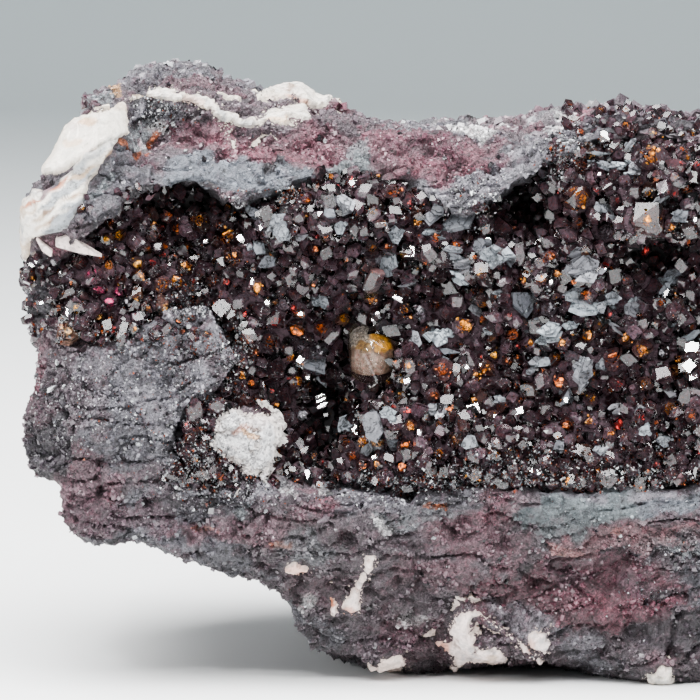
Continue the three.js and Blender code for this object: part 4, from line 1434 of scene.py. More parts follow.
GLINTS = (
    (26.1, 29.7, 0.87, 1, 0), (20.1, 20.1, 0.8, 0.2, 25), (20.2, 19.8, 0.8, 0.2, 25),
    (20.3, 19.5, 0.73, 0.2, 25), (25.9, 21.1, 0.53, 0.47, 15), (30.3, 19.3, 1, 0.67, 15),
    (22.5, 17.8, 0.47, 0.8, -15), (44.9, 23.3, 0.93, 0.93, 30), (44.7, 22.1, 0.93, 0.93, 45),
    (10.5, 32.7, 0.33, 0.67, -55), (7.5, 33.5, 0.6, 0.4, 25), (5.9, 31.9, 0.67, 0.4, -30),
    (16.5, 31.3, 1.07, 0.6, 10), (33.4, 19.1, 0.6, 0.53, 10), (18.7, 25.6, 0.73, 0.4, -10),
    (16.6, 26.3, 0.33, 0.33, 0), (15.6, 27.7, 0.2, 0.6, -10), (10.5, 25.4, 0.6, 0.6, 0),
    (9.3, 23.7, 0.6, 0.47, 10), (10.7, 23.4, 0.53, 0.53, 0), (4.4, 23.7, 0.47, 0.53, -20),
    (2.6, 25.9, 0.53, 1.13, 10), (3.3, 25.7, 0.2, 0.73, 0), (25.3, 26.6, 0.8, 0.27, -25),
    (18.8, 22.5, 0.53, 0.6, -40), (21.2, 23, 0.27, 0.53, 0), (19.3, 21.3, 0.27, 0.27, 0),
    (31.8, 18.7, 0.33, 0.33, 0), (23.6, 20.9, 0.53, 0.4, 20), (26.7, 17.7, 0.27, 0.4, 0),
    (29.9, 22, 0.27, 0.27, 0), (30.9, 22.1, 0.33, 0.4, 20), (23.7, 16, 0.4, 0.27, 35),
    (40.1, 31.2, 0.33, 0.27, 0), (35.7, 30.5, 0.2, 0.2, 0), (31.3, 30.5, 0.33, 0.27, 0),
    (39.1, 28.5, 0.27, 0.27, 0), (35.5, 27.7, 0.27, 0.27, 0), (36.5, 19.8, 0.27, 0.4, 20),
    (41.5, 20.8, 0.27, 0.4, 30), (14.8, 30.6, 0.47, 0.53, 30), (12.5, 30.4, 0.27, 0.27, 0),
    (18.8, 33.9, 0.53, 0.4, 30), (34.9, 37.3, 0.93, 0.6, 0), (35.3, 36.3, 0.27, 0.27, 0),
    (38.7, 34.9, 0.27, 0.2, 0), (41.9, 36.3, 0.27, 0.33, 0), (40.1, 39, 0.47, 0.4, 0),
    (31.5, 32.3, 0.53, 0.4, 0), (31.4, 33.5, 0.27, 0.53, 20), (45.1, 31.8, 0.27, 0.27, 0),
)  # the same for each glinting face
SPARKLE_ZONES = plain_zones(
    (18.3, 33.4, 1.1, 0.7), (14.3, 33.6, 2.4, 0.4), (11.5, 27.2, 1.3, 0.8), (14.5, 23.6, 2.2, 1.2),
    (11, 23.4, 3, 0.7), (36.5, 36.4, 0.9, 0.9), (13.6, 16.2, 2.4, 1.6, 0.7), (25, 14.6, 5, 0.6, 0.8),
    (32, 16, 3.6, 0.9, 0.6), (38, 16.2, 4.5, 1, 0.6), (31.2, 32.6, 0.9, 1.1), (3, 24.8, 1.4, 0.6),
    (7.4, 23.6, 2, 0.5), (46, 17.2, 4, 1.4, 0.4),
)
OVERGROWN = plain_zones(
    (1.6, 27.2, 1.8, 2.4), (1.3, 24.9, 1.2, 1.2), (4.3, 32.8, 0.8, 0.6), (8.5, 33.6, 2.5, 0.5),
    (20, 32.6, 2, 0.6), (26.5, 32.6, 2.6, 0.5), (31.4, 32, 1.2, 1.2), (36.5, 35.6, 1.6, 1.2),
    (39, 38.4, 2.6, 1.4), (42.5, 38.8, 3, 1.6), (47, 38.2, 4, 1.4), (13, 14.6, 3, 0.9), (24, 14.5, 8, 0.5),
    (38, 14.7, 10, 0.6), (10.5, 24.6, 3, 0.7), (16.3, 21, 0.7, 2.6),
)
# Pockets of the vug, middles and half sizes in mm: the skin is set back there, and its crystals and skin are
# painted darker as painted shade of the hollows.
SHADED_POCKETS = plain_zones(
    (34.2, 32.4, 3, 1.9), (42.6, 29.6, 2.4, 1.4), (20.6, 18.4, 1.9, 3), (12.5, 33, 5, 0.9),
    (22, 24, 1, 2.4), (47.5, 30.5, 2, 1.6),
)


CRYSTAL_SIZES = (
    (1.0, 0.25, 0.48, 0.74),
    (0.6, 0.12, 0.55, 0.95),
    (0.4, 0.08, 0.55, 0.95),
)  # room round each crystal in mm, how much it varies, and its least and greatest size as a share of it


@dataclass(frozen=True)
class HeartFinish:
    """The dark hearts of the crystals and the flecks that glow, painted on the mesh."""

    def build(self) -> Material:
        """Makes the material."""
        desk = Desk("crystal_hearts")
        tint = desk.attribute("tint")
        veil = desk.noise(0.26 * MM, 4, 0.7)
        blush = desk.ramp(desk.noise(0.17 * MM, 3, 0.7), 0.5, 0.64, 0, 0.55)
        plain = desk.maths("SUBTRACT", 1, tint.outputs["Alpha"])
        shade = desk.mix(desk.times(blush, plain), tint.outputs["Color"], colour("7a2c20"))
        crumb = desk.grey(desk.ramp(desk.crumbs(0.13 * MM), 0.25, 0.8, 0.06, 1.5))
        crumbs = desk.mix(tint.outputs["Alpha"], (1, 1, 1), crumb)
        shade = desk.shaded(shade, crumbs)
        light = desk.ramp(veil, 0.34, 0.66, 0.3, 1.9)
        desk.set(Base_Color=desk.shaded(shade, desk.grey(light)), Roughness=0.5)
        return desk.material


@dataclass(frozen=True)
class LiningFinish:
    """The near-black skin that the crystals stand on, its colour painted on the mesh; the near black is
    painted shade for the gaps between the crystals.
    """

    def build(self) -> Material:
        """Makes the material."""
        desk = Desk("druse_lining")
        light = desk.ramp(desk.noise(0.2 * MM, 4, 0.7), 0.35, 0.65, 0.1, 1.6)
        shade = desk.shaded(desk.attribute("tint").outputs["Color"], desk.grey(light))
        desk.set(Base_Color=shade, Roughness=0.85, Specular_IOR_Level=0.2)
        return desk.material


@dataclass(frozen=True)
class ClearFinish:
    """See-through quartz, its faint tint painted on the mesh."""

    name: str = "clear_quartz"
    steps: float = 0.015 * MM  # how high the growth steps on its faces are, 0 for clean faces
    gloss: float = 0.05  # how strongly its faces mirror the light, 0.5 for clean quartz

    def build(self) -> Material:
        """Makes the material."""
        desk = Desk(self.name)
        desk.set(
            Base_Color=desk.attribute("tint").outputs["Color"],
            Roughness=0.03,
            IOR=1.54,
            Specular_IOR_Level=self.gloss,
            Transmission_Weight=1.0,
        )
        if self.steps:
            desk.set(Normal=desk.bump(desk.cells(0.7 * MM).outputs["Distance"], self.steps))
        return desk.material


@dataclass(frozen=True)
class HematiteFinish:
    """Pale blue-grey plates with a dull metallic face, ruled with fine steps."""

    def build(self) -> Material:
        """Makes the material."""
        desk = Desk("hematite")
        tint = desk.attribute("tint")
        fine = desk.noise(0.16 * MM, 4, 0.7)
        mid = desk.noise(0.5 * MM, 3, 0.6)
        ridge = desk.ridges(0.8 * MM, 4, 0.6)
        crack = desk.ramp(ridge, 0, 0.035, 0.15, 0.9)
        light = desk.times(desk.ramp(fine, 0.3, 0.7, 0.65, 1.2), desk.ramp(mid, 0.35, 0.65, 0.65, 1.15))
        light = desk.times(light, crack)
        desk.set(
            Base_Color=desk.shaded(tint.outputs["Color"], desk.grey(light)),
            Metallic=desk.ramp(mid, 0.3, 0.7, 0.35, 0.8),
            Roughness=desk.ramp(fine, 0.3, 0.7, 0.34, 0.6),
            Normal=desk.bump(fine, 0.06 * MM, desk.bump(crack, 0.06 * MM)),
        )
        return desk.material


@dataclass(frozen=True)
class GrainFinish:
    """Small glossy grains, each with its own tint."""

    def build(self) -> Material:
        """Makes the material."""
        desk = Desk("grains")
        tint = desk.attribute("tint")
        fine = desk.noise(0.1 * MM, 2, 0.6)
        desk.set(
            Base_Color=desk.shaded(tint.outputs["Color"], desk.grey(desk.ramp(fine, 0.3, 0.7, 0.6, 1.15))),
            Roughness=desk.ramp(fine, 0.35, 0.65, 0.12, 0.4),
        )
        return desk.material


def aimed(at: Vector, axis: Vector, turn: float, size: Sequence[float]) -> Matrix:
    """The place of a flat shape that faces a way and lies turned as the maker sees it.

    Args:
        at: its middle.
        axis: the way its face looks.
        turn: how far its long side is turned from level, in degrees, as seen from the front.
        size: its scale along its own x, y and z.

    Returns:
        The matrix.
    """
    angle = math.radians(turn)
    along = Vector((1, 0, 0)) * math.cos(angle) + SIGHT.upwards * math.sin(angle)
    along = (along - axis * along.dot(axis)).normalized()
    aside = axis.cross(along)
    turned = Matrix((along * size[0], aside * size[1], axis * size[2])).transposed()
    return Matrix.Translation(at) @ turned.to_4x4()


def quartz(dice: random.Random, height: float = 0.4, uneven: float = 1.0) -> Mould:
    """A six-sided quartz crystal, one unit from its axis to its corners, cut to a point by six uneven faces.

    Args:
        dice: random numbers.
        height: how far up the pointed part starts, on average.
        uneven: how much the six faces differ.

    Returns:
        Its mould.
    """
    bm = bmesh.new()
    bmesh.ops.create_cone(bm, cap_ends=True, segments=6, radius1=1.0, radius2=1.0, depth=5.0)
    for vert in bm.verts:
        vert.co.xy *= dice.uniform(0.88, 1.08)
        vert.co.z = -0.7 if vert.co.z < 0 else 3.5
    long_first = dice.random() < 0.5
    for side in range(6):
        way = math.radians(30 + 60 * side)
        lean = math.radians(dice.uniform(46, 56))
        step = 0.3 if (side % 2 == 0) == long_first else -0.1
        shoulder = height + (dice.uniform(-0.25, 0.2) + step) * uneven
        facing = Vector((math.sin(lean) * math.cos(way), math.sin(lean) * math.sin(way), math.cos(lean)))
        spot = Vector((0.866 * math.cos(way), 0.866 * math.sin(way), shoulder))
        whole = bm.verts[:] + bm.edges[:] + bm.faces[:]
        bmesh.ops.bisect_plane(bm, geom=whole, dist=1e-5, plane_co=spot, plane_no=facing, clear_outer=True)
        bmesh.ops.holes_fill(bm, edges=[e for e in bm.edges if e.is_boundary])
    bmesh.ops.dissolve_degenerate(bm, dist=1e-3, edges=bm.edges[:])
    bmesh.ops.recalc_face_normals(bm, faces=bm.faces[:])
    return Mould.of(bm)


def chip(dice: random.Random) -> Mould:
    """A small sharp splinter of four faces, about one unit across."""
    bm = bmesh.new()
    bmesh.ops.create_cone(bm, cap_ends=True, segments=3, radius1=0.6, radius2=0.0, depth=0.9)
    for vert in bm.verts:
        vert.co += shaken(dice, 0.15)
    return Mould.of(bm)


def fleck(dice: random.Random) -> Mould:
    """An uneven lump, about one unit across."""
    bm = bmesh.new()
    bmesh.ops.create_icosphere(bm, subdivisions=1, radius=0.5)
    for vert in bm.verts:
        vert.co *= dice.uniform(0.55, 1.3)
    return Mould.of(bm)


def plate(dice: random.Random, thick: float = 0.12) -> Mould:
    """An angular plate about one unit across, with a smaller step of itself on its face.

    Args:
        dice: random numbers.
        thick: its thickness.

    Returns:
        Its mould.
    """
    bm = bmesh.new()
    corners = dice.choice((4, 5, 5, 6))
    spread = [(dice.uniform(0.34, 0.66), dice.uniform(-0.3, 0.3)) for _ in range(corners)]
    for scale, low, high in ((1, -thick, 0), (dice.uniform(0.5, 0.85), -thick / 2, thick * 0.7)):
        ring = bmesh.ops.create_circle(bm, cap_ends=True, segments=corners, radius=1.0)["verts"]
        offset = Vector((dice.uniform(-0.12, 0.12), dice.uniform(-0.12, 0.12), low))
        for vert, (far, swing) in zip(ring, spread):
            angle = math.atan2(vert.co.y, vert.co.x) + swing
            vert.co = Vector((math.cos(angle), math.sin(angle), 0)) * far * scale + offset
        bm.faces.ensure_lookup_table()
        top = bmesh.ops.extrude_face_region(bm, geom=[bm.faces[-1]])["geom"]
        bmesh.ops.translate(bm, verts=[g for g in top if isinstance(g, BMVert)], vec=(0, 0, high - low))
    bmesh.ops.recalc_face_normals(bm, faces=bm.faces[:])
    return Mould.of(bm)


def tablet(dice: random.Random, sides: int) -> Mould:
    """A flat cut crystal, one unit wide, with its clean face up."""
    bm = bmesh.new()
    bmesh.ops.create_cone(bm, cap_ends=True, segments=sides, radius1=0.72, radius2=0.56, depth=0.6)
    for vert in bm.verts:
        vert.co.xy *= dice.uniform(0.85, 1.1)
        vert.co.z -= 0.3
    bmesh.ops.rotate(bm, verts=bm.verts, matrix=Matrix.Rotation(math.pi / sides, 3, "Z"))
    return Mould.of(bm)


def grain(dice: random.Random) -> Mould:
    """A small angular grain, about one unit across."""
    bm = bmesh.new()
    bmesh.ops.create_cube(bm, size=1.0)
    for vert in bm.verts:
        vert.co += shaken(dice, 0.22)
    return Mould.of(bm)


@dataclass
class Druse:
    """The lining of the vug and the small crystals and plates that stand on it."""

    rock: HostRock
    voxel: float = 0.35 * MM
    seed: int = 4
    lit_share: float = 0.06
    ground: Mesh = field(init=False)
    tree: BVHTree = field(init=False)
    crystals: Mesh = field(init=False)
    shells: Heap = field(default_factory=Heap)
    hearts: Heap = field(default_factory=Heap)
    plates: Heap = field(default_factory=Heap)
    glints: Heap = field(default_factory=Heap)
    taken: list[tuple[Vector, float]] = field(default_factory=list)
    dice: random.Random = field(init=False)
    moulds: list[Mould] = field(init=False)
    lumps: list[Mould] = field(init=False)
    flats: list[Mould] = field(init=False)

    def __post_init__(self) -> None:
        """Makes the moulds."""
        self.dice = random.Random(self.seed)
        self.moulds = [quartz(self.dice, self.dice.uniform(0.1, 0.8), 1.4) for _ in range(14)]
        self.lumps = [fleck(self.dice) for _ in range(6)]
        self.flats = [plate(self.dice) for _ in range(10)]

    def lining(self) -> None:
        """Makes the skin that the crystals stand on."""
        mesh = remeshed(self.voxel, 0.0, "quartz_crust")
        bm = opened(mesh)
        softened(bm, 7)
        for vert in bm.verts:
            out = rough(vert.co, 2.6 * MM, 3, 2) * 0.35 - 0.1 - self.pocket_shade(vert.co) * 1.5
            vert.co += SIGHT.backwards * out * MM
        bm.to_mesh(mesh)
        bm.free()
        pockets = np.array([self.pocket_shade(Vector(p)) for p in corners_of(mesh)])
        # The skin's near-black colour is painted shade for the gaps between the crystals.
        skin = np.ones((len(pockets), 4))
        # Painted shade: the skin is darkened further, to near black, in the pockets.
        skin[:, :3] = np.array(colour("33252b")) * (1 - 0.93 * ramped(pockets, 0.2, 0.7))[:, None]
        coloured(mesh, "tint", skin)
        self.ground = mesh
        self.tree = tree_of(mesh)

    @staticmethod
    def pocket_shade(point: Vector) -> float:
        """How deep in one of the shaded pockets a point is, from 0 to 1: the share by which the crystals and
        skin there are painted darker, as painted shade.
        """
        x, z = SIGHT.place(point)
        across, up = np.array([x]), np.array([z])
        return min(1.0, sum(float(zone.mask(across, up)[0]) for zone in SHADED_POCKETS))

    def lit(self, foot: Vector, out: Vector, shape: Mould, scale: Vector) -> Matrix:
        """The place of a crystal whose largest face throws one of the soft lights back at the eye.

        Args:
            foot: where it stands.
            out: the way that it points, roughly.
            shape: its mould.
            scale: along its own x, y and z.

        Returns:
            The matrix.
        """
        dice = self.dice
        box = dice.choice(SOFT_BOXES)
        lamp = SIGHT.target + (Vector(box.at) + shaken(dice, 0.4) * box.high) * MM
        half = ((SIGHT.eye - foot).normalized() + (lamp - foot).normalized()).normalized()
        facet = Vector([n / s for n, s in zip(shape.facet, scale)]).normalized()
        turn = facet.rotation_difference(half)
        spins = [Quaternion(half, dice.uniform(0, 6.3)) @ turn for _ in range(6)]
        best = max(spins, key=lambda spin: (spin @ Vector((0, 0, 1))).dot(out))
        return Matrix.LocRotScale(foot, best, scale)

    def crystal(
        self, foot: Vector, axis: Vector, size: float, glow: Glow, shade: float = 1.0, bright: float = 1.0
    ) -> None:
        """Stands one crystal up: its clear shell, its heart and its flecks.

        Args:
            foot: where it stands.
            axis: the way it points.
            size: from its axis to its corners, in metres.
            glow: what it holds.
            shade: how light its heart is, 1 as given.
            bright: how wide its glow is, 1 as given.
        """
        dice = self.dice
        long = dice.uniform(0.75, 1.5)
        shape = dice.choice(self.moulds)
        clear = mixed(colour("5e5258"), colour("b4a8ae"), dice.random())
        if glow in (Glow.CLEAR, Glow.TAN):
            clear = colour("efe9e4")
        scale = Vector((size, size * dice.uniform(0.75, 1), size * long))
        place = stood(foot, axis, dice.uniform(0, 6.3), scale)
        self.shells.put(shape, place, clear)
        dark = mixed(glow.heart, colour("7d6a74"), dice.random() ** 2 * 0.9)
        dark = dimmed(dark, dice.uniform(0.5, 1.75) * shade)
        inner = dice.uniform(0.8, 0.92) * (0.9 if glow.flecks else 1)
        sunk = Matrix.Translation(-axis * size * (0.28 if glow.flecks else 0.08))
        self.hearts.put(shape, sunk @ place @ Matrix.Diagonal((inner, inner, inner, 1.0)), dark)
        if not glow.flecks:
            return
        core = foot + axis * size * long * dice.uniform(0.4, 0.6)
        core += SIGHT.backwards * size * (0.14 + (bright - 1) * 0.5)
        core += shaken(dice, 0.12) * size
        wide = size * dice.uniform(0.5, 0.85) * bright
        scale = (wide, wide * dice.uniform(0.6, 1), wide * dice.uniform(0.6, 1))
        lump = dice.choice(self.lumps)
        self.hearts.put(lump, stood(core, axis, dice.uniform(0, 6), scale), glow.fleck, 1)
        for _ in range(int(glow.flecks * dice.uniform(0.6, 1.3) + 0.5)):
            spot = core + shaken(dice, 0.42) * size * bright
            wide = size * dice.uniform(0.1, 0.24)
            end = colour("d89a10") if glow is Glow.ORANGE else glow.heart
            tint = mixed(glow.fleck, end, dice.random() ** 2)
            place = stood(spot, axis, dice.uniform(0, 6), (wide, wide, wide))
            self.hearts.put(dice.choice(self.lumps), place, tint, 0.4)

    def named(self) -> None:
        """Stands the crystals that have their own places."""
        for glow, gems in GEMS.items():
            for at, way, (size,) in SIGHT.hits(self.tree, gems):
                axis = (SIGHT.backwards * 0.9 + way * 0.5 + shaken(self.dice, 0.32)).normalized()
                self.crystal(at - axis * size * 0.1 * MM, axis, size * MM, glow, bright=1.3)
                self.taken.append((at, size * 1.9 * MM))

    def flat(self, at: Vector, axis: Vector, turn: float, wide: float, high: float) -> None:
        """Lays a plate of hematite with thinner ones beside it.

        Args:
            at: its middle.
            axis: the way its face looks.
            turn: of its long side from level, in degrees.
            wide: its width in metres.
            high: its height in metres.
        """
        dice = self.dice
        pale = mixed(colour("b4bec6"), colour("98959b"), dice.random())
        tint = mixed(colour("54565d"), pale, dice.random() ** 1.3)
        size = max(wide, high)
        self.plates.put(dice.choice(self.flats), aimed(at, axis, turn, (wide * 0.95, high, size * 0.8)), tint)
        for _ in range(dice.randint(2, 4)):
            lean = (axis + shaken(dice, 0.4)).normalized()
            spot = at - axis * size * dice.uniform(0, 0.2) + shaken(dice, 0.4) * size
            scale = dice.uniform(0.35, 0.75)
            place = aimed(spot, lean, turn + dice.uniform(-30, 30), (wide * scale, high * scale, size * 0.7))
            self.plates.put(dice.choice(self.flats), place, dimmed(tint, dice.uniform(0.5, 1)))

    def plated(self) -> None:
        """Lays the plates that have their own places, and some more along the right of the vug."""
        dice = self.dice
        spots = list(PLATES)
        for _ in range(46):
            turn = dice.uniform(-60, 60)
            ranges = ((46, 57.5), (15.5, 35), (0.7, 2.2), (0.4, 1.3))
            spots.append((*(dice.uniform(*ends) for ends in ranges), turn))
        for at, way, (wide, high, turn) in SIGHT.hits(self.tree, spots):
            axis = (SIGHT.backwards + Vector((0, 0, 0.4)) + way * 0.2 + shaken(dice, 0.5)).normalized()
            at = at + SIGHT.backwards * dice.uniform(0.35, 0.6) * MM
            self.flat(at, axis, turn, wide * MM, high * MM)
            self.taken.append((at - SIGHT.backwards * 0.4 * MM, min(wide, high) * 0.8 * MM))

    def glinting(self) -> None:
        """Sets the crystals whose clean faces throw the light back at the eye."""
        lamp = SIGHT.target + Vector(GLINT_LAMP.at) * MM
        for hit, _, (wide, high, turn) in SIGHT.hits(self.tree, GLINTS):
            at = hit + SIGHT.backwards * 0.75 * MM
            axis = ((SIGHT.eye - at).normalized() + (lamp - at).normalized()).normalized()
            shape = tablet(self.dice, self.dice.choice((4, 4, 5, 6)))
            deep = min(wide, high, 0.5) * 1.6
            self.glints.put(shape, aimed(at, axis, turn, (wide * MM, high * MM, deep * MM)), colour("e4dfe0"))

    def filler(self) -> None:
        """Fills the rest of the lining with crystals, the largest first."""
        dice = self.dice
        for gap, spread, low, high in CRYSTAL_SIZES:

            def room(p: Vector) -> float:
                return (gap + spread * rough(p, 3 * MM, 1, 8)) * MM

            throw = Throw.over(self.ground, int(26000 / gap), self.seed + int(gap * 100))
            for at, way in throw.apart(room, self.taken):
                if way.y > 0.5:
                    continue
                # Painted shade in the pockets: crystals there are smaller, seldom glow and are painted
                # darker.
                pocket = self.pocket_shade(at)
                if pocket > 0.6 and gap > 0.8:
                    continue
                self.taken.append((at, room(at) * 0.75))
                size = gap * dice.uniform(low, high) * (1 - pocket * 0.25) * MM
                axis = (way + SIGHT.backwards * 0.2 + shaken(dice, 0.75)).normalized()
                x, z = SIGHT.place(at)
                warm = (0.5 if x < 17 and z > 24 else 0.36) * (1 - pocket)
                if gap < 0.5:
                    tint = dimmed(colour("b4a6ac"), (0.15 + 0.85 * dice.random() ** 2) * (1 - pocket * 0.8))
                    shape = dice.choice(self.moulds)
                    scale = Vector((size, size * dice.uniform(0.6, 1), size * dice.uniform(0.8, 1.6)))
                    place = stood(at, axis, dice.uniform(0, 6), scale)
                    if dice.random() < self.lit_share:
                        self.glints.put(shape, self.lit(at, axis, shape, scale), tint)
                        continue
                    self.shells.put(shape, place, tint)
                    continue
                glow = Glow.NONE
                if dice.random() < warm:
                    kinds = (Glow.ORANGE, Glow.EMBER, Glow.AMBER, Glow.RED, Glow.GREY)
                    glow = dice.choices(kinds, (6, 8, 2, 3, 3))[0]
                self.crystal(at + axis * size * 0.05, axis, size, glow, 1 - pocket * 0.7)

    def overgrown(self) -> None:
        """Lets crystals creep over the rock round the lining."""
        dice, mesh = self.dice, self.rock.mesh
        points = corners_of(mesh)
        seen = SIGHT.places(points)
        share = np.max([zone.mask(seen[:, 0], seen[:, 1]) for zone in OVERGROWN], axis=0)
        near = points[:, 1] < BLOCK_FRONT + 17 * MM
        throw = Throw.over(mesh, 7000, self.seed, ramped(share, 0.3, 0.6) * near)
        for at, way in throw.apart(lambda p: (0.55 + 0.3 * rough(p, 1.5 * MM, 1, 3)) * MM, self.taken):
            if way.dot(SIGHT.backwards) < 0.1:
                continue
            size = dice.uniform(0.2, 0.45) * MM
            axis = (way + SIGHT.backwards * 0.3 + shaken(dice, 0.8)).normalized()
            kinds = (Glow.NONE, Glow.ORANGE, Glow.EMBER, Glow.AMBER, Glow.GREY)
            self.crystal(at + axis * size * 0.2, axis, size, dice.choices(kinds, (9, 1, 2, 1, 3))[0])

    def build(self) -> list[Object]:
        """Makes the lining, its crystals and its plates."""
        self.lining()
        amber = AmberQuartz()
        self.taken.append((amber.middle, 3.0 * MM))
        self.named()
        self.plated()
        self.glinting()
        self.filler()
        self.overgrown()
        self.crystals = self.shells.mesh("druse_crystals")
        heart, clear = HeartFinish().build(), ClearFinish().build()
        faces = self.glints.mesh("clean_faces")
        plates = self.plates.mesh("hematite_plates")
        return [
            piece_of("druse_lining", self.ground, LiningFinish().build(), "quartz", "quartz_crust"),
            piece_of("crystal_hearts", self.hearts.mesh("crystal_hearts"), heart, "quartz", "quartz_crust"),
            piece_of("druse_crystals", self.crystals, clear, "quartz", "quartz_crust"),
            piece_of("clean_faces", faces, ClearFinish("clean_quartz", 0.0, 0.5).build(), "quartz"),
            piece_of("hematite_plates", plates, HematiteFinish().build(), "rock"),
            *amber.build(heart),
        ]


@dataclass
class AmberQuartz:
    """The one large clear crystal, with a yellow cloud and a white veil inside."""

    radius: float = 2.05 * MM
    spin: float = 0.1
    axis: Vector = field(default_factory=lambda: Vector((0.08, -0.8, -0.6)).normalized())
    middle: Vector = field(init=False)

    def __post_init__(self) -> None:
        """Finds where it stands."""
        place = corners_of(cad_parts["amber_quartz"].data)
        self.middle = Vector((place.min(0) + place.max(0)) / 2) + Vector((0.3, 0.0, -0.95)) * MM

    def place(self, share: float, sunk: float) -> Matrix:
        """Where the crystal or its heart stands.

        Args:
            share: its size beside the whole crystal's.
            sunk: how far it is set back, in mm.

        Returns:
            The matrix.
        """
        size = self.radius * share
        foot = self.middle - self.axis * (0.9 + sunk) * MM
        tall = Matrix.Diagonal((0.96, 1.0, 1.02, 1.0))
        back = Matrix.Translation(foot)
        return back @ tall @ back.inverted() @ stood(foot, self.axis, self.spin, (size, size, size * 1.2))

    def cloud(self, mould: Mould) -> Mesh:
        """Makes what it holds: a pale heart that is yellow at one side and veiled at the other, with a
        painted highlight and painted shade at its rims.

        Args:
            mould: the crystal's shape.

        Returns:
            The mesh.
        """
        heap = Heap()
        heap.put(mould, self.place(0.74, 0.12), colour("85766e"))
        bm = opened(heap.mesh("amber_rough"))
        bmesh.ops.triangulate(bm, faces=bm.faces[:])
        bmesh.ops.subdivide_edges(bm, edges=bm.edges[:], cuts=11, use_grid_fill=True)
        mesh = closed(bm, "amber_cloud")
        points = corners_of(mesh)
        across, up = warped(points, 0.5 * MM, 0.22)
        mottle = roughness(points, 0.3, 3, 9)
        tint = np.zeros((len(points), 4))
        tint[:, :3] = colour("5c4c40")
        # Painted light in the cloud: the pale spot at 23.5, 21.25 is a painted highlight, and the dark rims
        # at the right, the bottom and the left are painted shade of the crystal's see-through edge.
        for zone, shade, grains in (
            (Zone(22.9, 24.0, 0.85, 0.95), "9a928c", 0.6),
            (Zone(23.1, 23.2, 0.5, 0.4), "7c6034", 0.3),
            (Zone(24.25, 23.8, 0.75, 1.0, turn=-15), "ac7800", 0.3),
            (Zone(23.4, 22.3, 1.1, 0.75, turn=-12), "7c6c64", 0.0),
            (Zone(23.5, 21.25, 0.5, 0.25), "e6e4e0", 0.4),
            (Zone(25.2, 22.9, 0.35, 1.1), "3a2a0e", 0.1),
            (Zone(22.1, 22.7, 0.3, 0.9), "3c2a1a", 0.0),
            (Zone(23.5, 20.8, 1.2, 0.35), "262120", 0.0),
        ):
            share = np.clip((zone.mask(across, up) - 0.42 + mottle * 0.12) * 9, 0, 1)
            tint[:, :3] += (np.array(colour(shade)) - tint[:, :3]) * share[:, None]
            tint[:, 3] += (grains - tint[:, 3]) * share
        coloured(mesh, "tint", tint)
        return mesh

    def build(self, heart: Material) -> list[Object]:
        """Makes the crystal and its cloud.

        Args:
            heart: the finish of the cloud.

        Returns:
            Both pieces.
        """
        mould = quartz(random.Random(21), 0.35, 0.45)
        shell = Heap()
        shell.put(mould, self.place(1.0, 0.0), colour("fbf3e6"))
        bm = opened(shell.mesh("amber_sharp"))
        rounded(bm, [e for e in bm.edges if not e.is_boundary], 0.14 * MM)
        mesh = closed(bm, "amber_quartz")
        return [
            piece_of("amber_quartz", mesh, AmberFinish().build(), "amber", "amber_quartz"),
            piece_of("amber_cloud", self.cloud(mould), heart, "amber"),
        ]


@dataclass(frozen=True)
class AmberFinish:
    """Clear quartz with a warm body."""

    def build(self) -> Material:
        """Makes the material."""
        desk = Desk("amber_quartz")
        desk.set(
            Base_Color=(0.97, 0.94, 0.88),
            Roughness=0.04,
            IOR=1.54,
            Transmission_Weight=1.0,
            Normal=desk.bump(desk.noise(0.7 * MM, 2), 0.03 * MM),
        )
        body = desk.add("VolumeAbsorption", {"Color": (0.9, 0.72, 0.45), "Density": 90})
        output = next(node for node in desk.nodes if node.type == "OUTPUT_MATERIAL")
        desk.links.new(body.outputs["Volume"], output.inputs["Volume"])
        return desk.material


# ---- grains and chips ----


